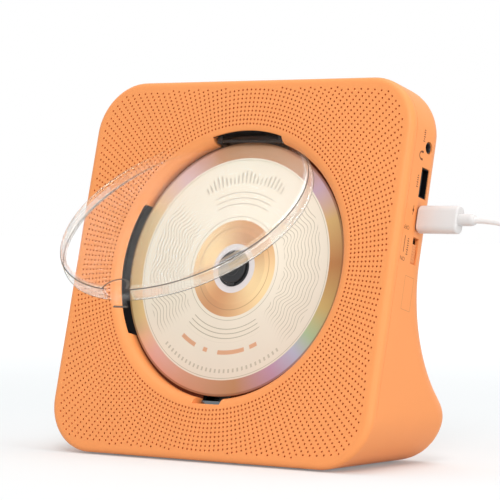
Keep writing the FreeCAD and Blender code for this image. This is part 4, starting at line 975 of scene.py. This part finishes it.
class PLAYER_OT_signs(bpy.types.Operator):
    """Print the plain signs beside the sockets and the switch"""
    bl_idname = "player.signs"
    bl_label = "Signs"

    def execute(self, context):
        upright = Matrix.Rotation(math.pi / 2, 4, "Y") @ Matrix.Rotation(math.pi, 4, "Z")
        words_z = -7.0
        words = [printed(text, 2.5, Matrix.Translation((SIDE_X, y, words_z)) @ upright)
                 for text, y in (("ON", 6.8), ("OFF", 21.0))]
        bars = bmesh.new()

        def bar(y, z, wide, deep):
            soft_box(bars, (0.02, wide, deep), (SIDE_X, y, z))

        bar(13.4, words_z, 7.4, 0.4)
        for start, count, z in ((9.2, 8, -9.9), (61.4, 6, -11.3), (40.4, 6, -10.6)):
            for step in range(count):
                bar(start + step, z, 0.45, 1.3 - 0.4 * (step % 2))
        phones_y, phones_z, band = 54.8, -10.9, 1.7
        for step in range(13):
            turn = math.radians(15 * step)
            bar(phones_y + band * math.cos(turn), phones_z + band * math.sin(turn), 0.7, 0.35)
        for y in (-band, band):
            bar(phones_y + y, phones_z - 0.5, 0.9, 1.5)
        for wide, deep in ((4.2, 0.35), (1.1, 1.1)):
            bar(29.5, -10.4, wide, deep)
        piece("side_signs", merged(*words, bars), "sign")
        return {"FINISHED"}


# Cable

EXIT = (0.1194, 0.037321, 0.110939)
ROUTE = (
    EXIT, (0.1354, 0.037321, 0.110939), (0.1554, 0.038321, 0.099939), (0.1704, 0.040321, 0.073939),
    (0.1794, 0.043321, 0.042939), (0.1914, 0.046321, 0.015439), (0.2154, 0.048321, 0.002250),
    (0.2404, 0.048321, 0.002250),
)
TURNS = (  # radius, middle, height and climb of each half turn
    (20.0, 68.321, 2.25, 0.0), (18.2, 70.121, 2.25, 0.0), (16.4, 68.321, 2.25, 3.6),
    (18.2, 66.521, 5.85, 0.0), (20.0, 68.321, 5.85, 0.0),
)
COIL_X, FAR_Y, FAR_Z = 243.4, 88.321, 5.85


def coil_points():
    """Points of the put-away turns: half turns to either side by turns, with a climb in the middle one."""
    points = []
    for number, (radius, middle, height, climb) in enumerate(TURNS):
        way = 1 if number % 2 == 0 else -1
        out = radius * 1.024
        for step in range(7):
            turn = math.radians(15.0 + 25.0 * step)
            points.append((COIL_X + way * out * math.sin(turn), middle - way * out * math.cos(turn),
                           height + climb * (turn / math.pi)))
    points += [(240.4, FAR_Y, FAR_Z), (237.4, FAR_Y, FAR_Z)]
    return [tuple(part * MM for part in point) for point in points]


def plug_grip(size, middle, radius, segments, end, end_segments):
    """A moulded grip along x, rounded along its length and softened at both ends."""
    grip = new_box(size, middle, radius, segments, along(0))
    ends = [edge for edge in grip.edges if abs(edge.verts[0].co.x - edge.verts[1].co.x) < 0.001]
    bmesh.ops.bevel(grip, geom=ends, offset=end, segments=end_segments, profile=0.5, affect="EDGES",
                    material=-1)
    return grip


class PLAYER_OT_cable(bpy.types.Operator):
    """Lay the white cable: plug, strain relief, cord, put-away coil and the far plug"""
    bl_idname = "player.cable"
    bl_label = "Cable"

    def execute(self, context):
        points = list(ROUTE) + coil_points()
        curve = bpy.data.curves.new("cable_cord", "CURVE")
        curve.dimensions = "3D"
        spline = curve.splines.new("NURBS")
        spline.points.add(len(points) - 1)
        for point, place in zip(spline.points, points):
            point.co = (*place, 1.0)
        spline.order_u = 3
        spline.use_endpoint_u = True
        spline.resolution_u = 8
        curve.bevel_depth = sizes().cord / 2
        curve.bevel_resolution = 5
        curve.use_fill_caps = True
        curve.materials.append(FINISHES["cord"])
        cord = linked("cable_cord", curve)
        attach(cord, "housing")
        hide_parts("cord_run", "cord_coil")

        grip = plug_grip((20.8, 12.6, 6.6), (101.0, SMALL_Y, SOCKET_Z), 3.1, 8, 0.9, 4)
        grip = piece("cable_grip", grip, "white", "plug_grip")
        relief = lathe([(0.0, 0.0), (2.75, 0.0), (2.7, 5.6), (2.5, 6.8), (2.0, 7.7), (1.6, 8.0), (0.0, 8.0)],
                       40, at=(111.4, SMALL_Y, SOCKET_Z))
        relief = piece("cable_relief", relief, "white", "strain_relief")
        tongue = turned(cup((7.4, 8.3, 2.4), (0, 0, 0), 0.3, 6.0, 1.1), 180.0, "Z")
        moved(tongue, (86.9, SMALL_Y, SOCKET_Z))
        shell = piece("cable_tongue", tongue, "steel", "plug_shell")

        far = plug_grip((24.0, 12.4, 11.0), (214.9, FAR_Y, FAR_Z), 3.0, 6, 0.8, 3)
        far_relief = lathe([(0.0, 0.0), (2.3, 0.0), (2.3, 8.0), (1.9, 9.4), (1.6, 10.5), (0.0, 10.5)], 32,
                           at=(226.9, FAR_Y, FAR_Z))
        far_grip = piece("far_grip", merged(far, far_relief), "white", "far_plug_grip",
                         place=TABLE)
        mouth = cup((18.0, 12.0, 4.5), (0, 0, 0), 0.35, 11.5, 0.4)
        for y in (-2.7, 2.7):
            for z in (-2.24, 2.24):
                soft_box(mouth, (2.2, 2.2, 0.03), (1.0, y, z))
        moved(turned(mouth, 180.0, "Z"), (193.9, FAR_Y, FAR_Z))
        far_shell = piece("far_shell", mouth, "steel", "far_plug_shell", place=TABLE)
        return {"FINISHED"}


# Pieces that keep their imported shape

KEPT = {
    "rubber": "foot_pads chassis_dampers",
    "steel": "case_screws spindle_shaft spindle_motor mech_plate guide_rods sled_motor",
    "tray": "disc_tray",
    # the hinge bracket and pin in the darker black, painted shade
    "deep": "hinge_bracket hinge_pin",
    "black": "pickup_body switch_body speaker_frames",
    "lens": "pickup_lens",
    "white": "sled_gear",
    "board": "main_board socket_board button_board",
    "paper": "speaker_cones",
    "iron": "speaker_magnets",
    "wrap": "battery_pack",
    "tie": "coil_tie",
}


class PLAYER_OT_works(bpy.types.Operator):
    """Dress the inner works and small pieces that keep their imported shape"""
    bl_idname = "player.works"
    bl_label = "Inner works"

    def execute(self, context):
        for finish, nodes in KEPT.items():
            for node in nodes.split():
                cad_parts[node].material_slots[0].material = FINISHES[finish]
        return {"FINISHED"}


# Stage

PHOTO_SIDE, FOCAL, FILM = 500.0, 2634.0, 36.0  # pixels, pixels, millimetres
CAMERA_AIM, CAMERA_AWAY = Vector((0.0291, -0.0066, 0.0968)), 1.173
CAMERA_TURN, CAMERA_RISE, CAMERA_ROLL = (math.radians(angle) for angle in (35.76, 0.98, 0.45))
SKY_LIGHT = 0.59  # of the white that the camera sees


def lamp(name, place, aim, size, power):
    light = bpy.data.lights.new(name, "AREA")
    light.shape = "DISK"
    light.size = size
    light.energy = power
    thing = linked(name, light)
    thing.location = place
    thing.rotation_euler = (Vector(aim) - Vector(place)).to_track_quat("-Z", "Y").to_euler()


def seen(finish):
    """One for what the camera sees directly, in a mirror or through glass."""
    outputs = finish.node("LightPath").socket.node.outputs
    rays = [Term(finish, outputs[f"Is {kind} Ray"]) for kind in ("Camera", "Glossy", "Transmission")]
    return rays[0].math("MAXIMUM", rays[1]).math("MAXIMUM", rays[2])


def floor_finish():
    """Pale floor that goes over into the white of the background."""
    finish = Finish("pale_floor")
    point = finish.point(TABLE)
    cloud = finish.noise(point, 0.002)
    x, y, _ = finish.axes(point)
    finish.surface(Base_Color=finish.mix(cloud, (0.655, 0.678, 0.686), (0.675, 0.698, 0.706)),
                   Roughness=0.9 + cloud * 0.05)
    tone = finish.mix(finish.ramp(reach(x, y), 250.0, 1600.0), (0.2, 0.2, 0.2), (0.6, 0.6, 0.6))
    glow = finish.node("Emission", {"Color": tone, "Strength": seen(finish)})
    return finish.covered(finish.node("AddShader", {0: finish.own_shader(), 1: glow}))


class PLAYER_OT_stage(bpy.types.Operator):
    """Set the camera, the pale floor and the soft light"""
    bl_idname = "player.stage"
    bl_label = "Stage"

    def execute(self, context):
        scene = context.scene
        view = bpy.data.cameras.new("view")
        view.sensor_width = FILM
        view.lens = FOCAL / PHOTO_SIDE * FILM
        view.clip_end = 20.0
        camera = linked("view", view)
        way = Vector((math.sin(CAMERA_TURN) * math.cos(CAMERA_RISE),
                      -math.cos(CAMERA_TURN) * math.cos(CAMERA_RISE), math.sin(CAMERA_RISE)))
        camera.location = CAMERA_AIM + way * CAMERA_AWAY
        camera.rotation_euler = ((-way).to_track_quat("-Z", "Y").to_matrix()
                                 @ Matrix.Rotation(CAMERA_ROLL, 3, "Z")).to_euler()
        scene.camera = camera

        shape = bmesh.new()
        bmesh.ops.create_grid(shape, x_segments=1, y_segments=1, size=6.0)
        mesh = to_mesh("floor", shape)
        mesh.materials.append(floor_finish())
        floor = linked("floor", mesh)

        sky = Sky("studio")
        sky.feed(sky.tree.nodes["Background"],
                 {"Color": (1, 1, 1, 1), "Strength": seen(sky) * (1.0 - SKY_LIGHT) + SKY_LIGHT})
        scene.world = sky.world

        lamp("key", (0.95, -1.4, 1.4), (0, 0, 0.09), 0.8, 16.8)
        lamp("fill", (1.6, -0.2, 0.2), (0, 0.03, 0.03), 0.8, 6.2)
        lamp("top", (0.1, 0.3, 1.6), (0, 0, 0.1), 1.0, 8.5)
        scene.view_settings.view_transform = "Standard"
        return {"FINISHED"}


OPERATORS = (PLAYER_OT_stage, PLAYER_OT_cable, PLAYER_OT_front, PLAYER_OT_rear, PLAYER_OT_lid, PLAYER_OT_disc,
             PLAYER_OT_catch, PLAYER_OT_sockets, PLAYER_OT_switch, PLAYER_OT_buttons, PLAYER_OT_signs,
             PLAYER_OT_works)


class PLAYER_PT_panel(bpy.types.Panel):
    """Lists the steps that dress the CD player"""
    bl_idname = "PLAYER_PT_panel"
    bl_label = "CD player"
    bl_space_type = "VIEW_3D"
    bl_region_type = "UI"
    bl_category = "CD player"

    def draw(self, context):
        for group in (sizes(), look()):
            column = self.layout.column(align=True)
            for name in group.__annotations__:
                column.prop(group, name)
        for operator in OPERATORS:
            self.layout.operator(operator.bl_idname)


CLASSES = (PlayerSizes, PlayerLook) + OPERATORS + (PLAYER_PT_panel,)


def register():
    for cls in CLASSES:
        bpy.utils.register_class(cls)
    bpy.types.Scene.player_sizes = PointerProperty(type=PlayerSizes)
    bpy.types.Scene.player_look = PointerProperty(type=PlayerLook)


def unregister():
    del bpy.types.Scene.player_look
    del bpy.types.Scene.player_sizes
    for cls in reversed(CLASSES):
        bpy.utils.unregister_class(cls)


def main():
    register()
    make_finishes()
    bpy.ops.player.stage()
    bpy.ops.player.cable()
    bpy.ops.player.front()
    bpy.ops.player.rear()
    bpy.ops.player.lid()
    bpy.ops.player.disc()
    bpy.ops.player.catch()
    bpy.ops.player.sockets()
    bpy.ops.player.switch()
    bpy.ops.player.buttons()
    bpy.ops.player.signs()
    bpy.ops.player.works()


if __name__ == "__main__":
    main()
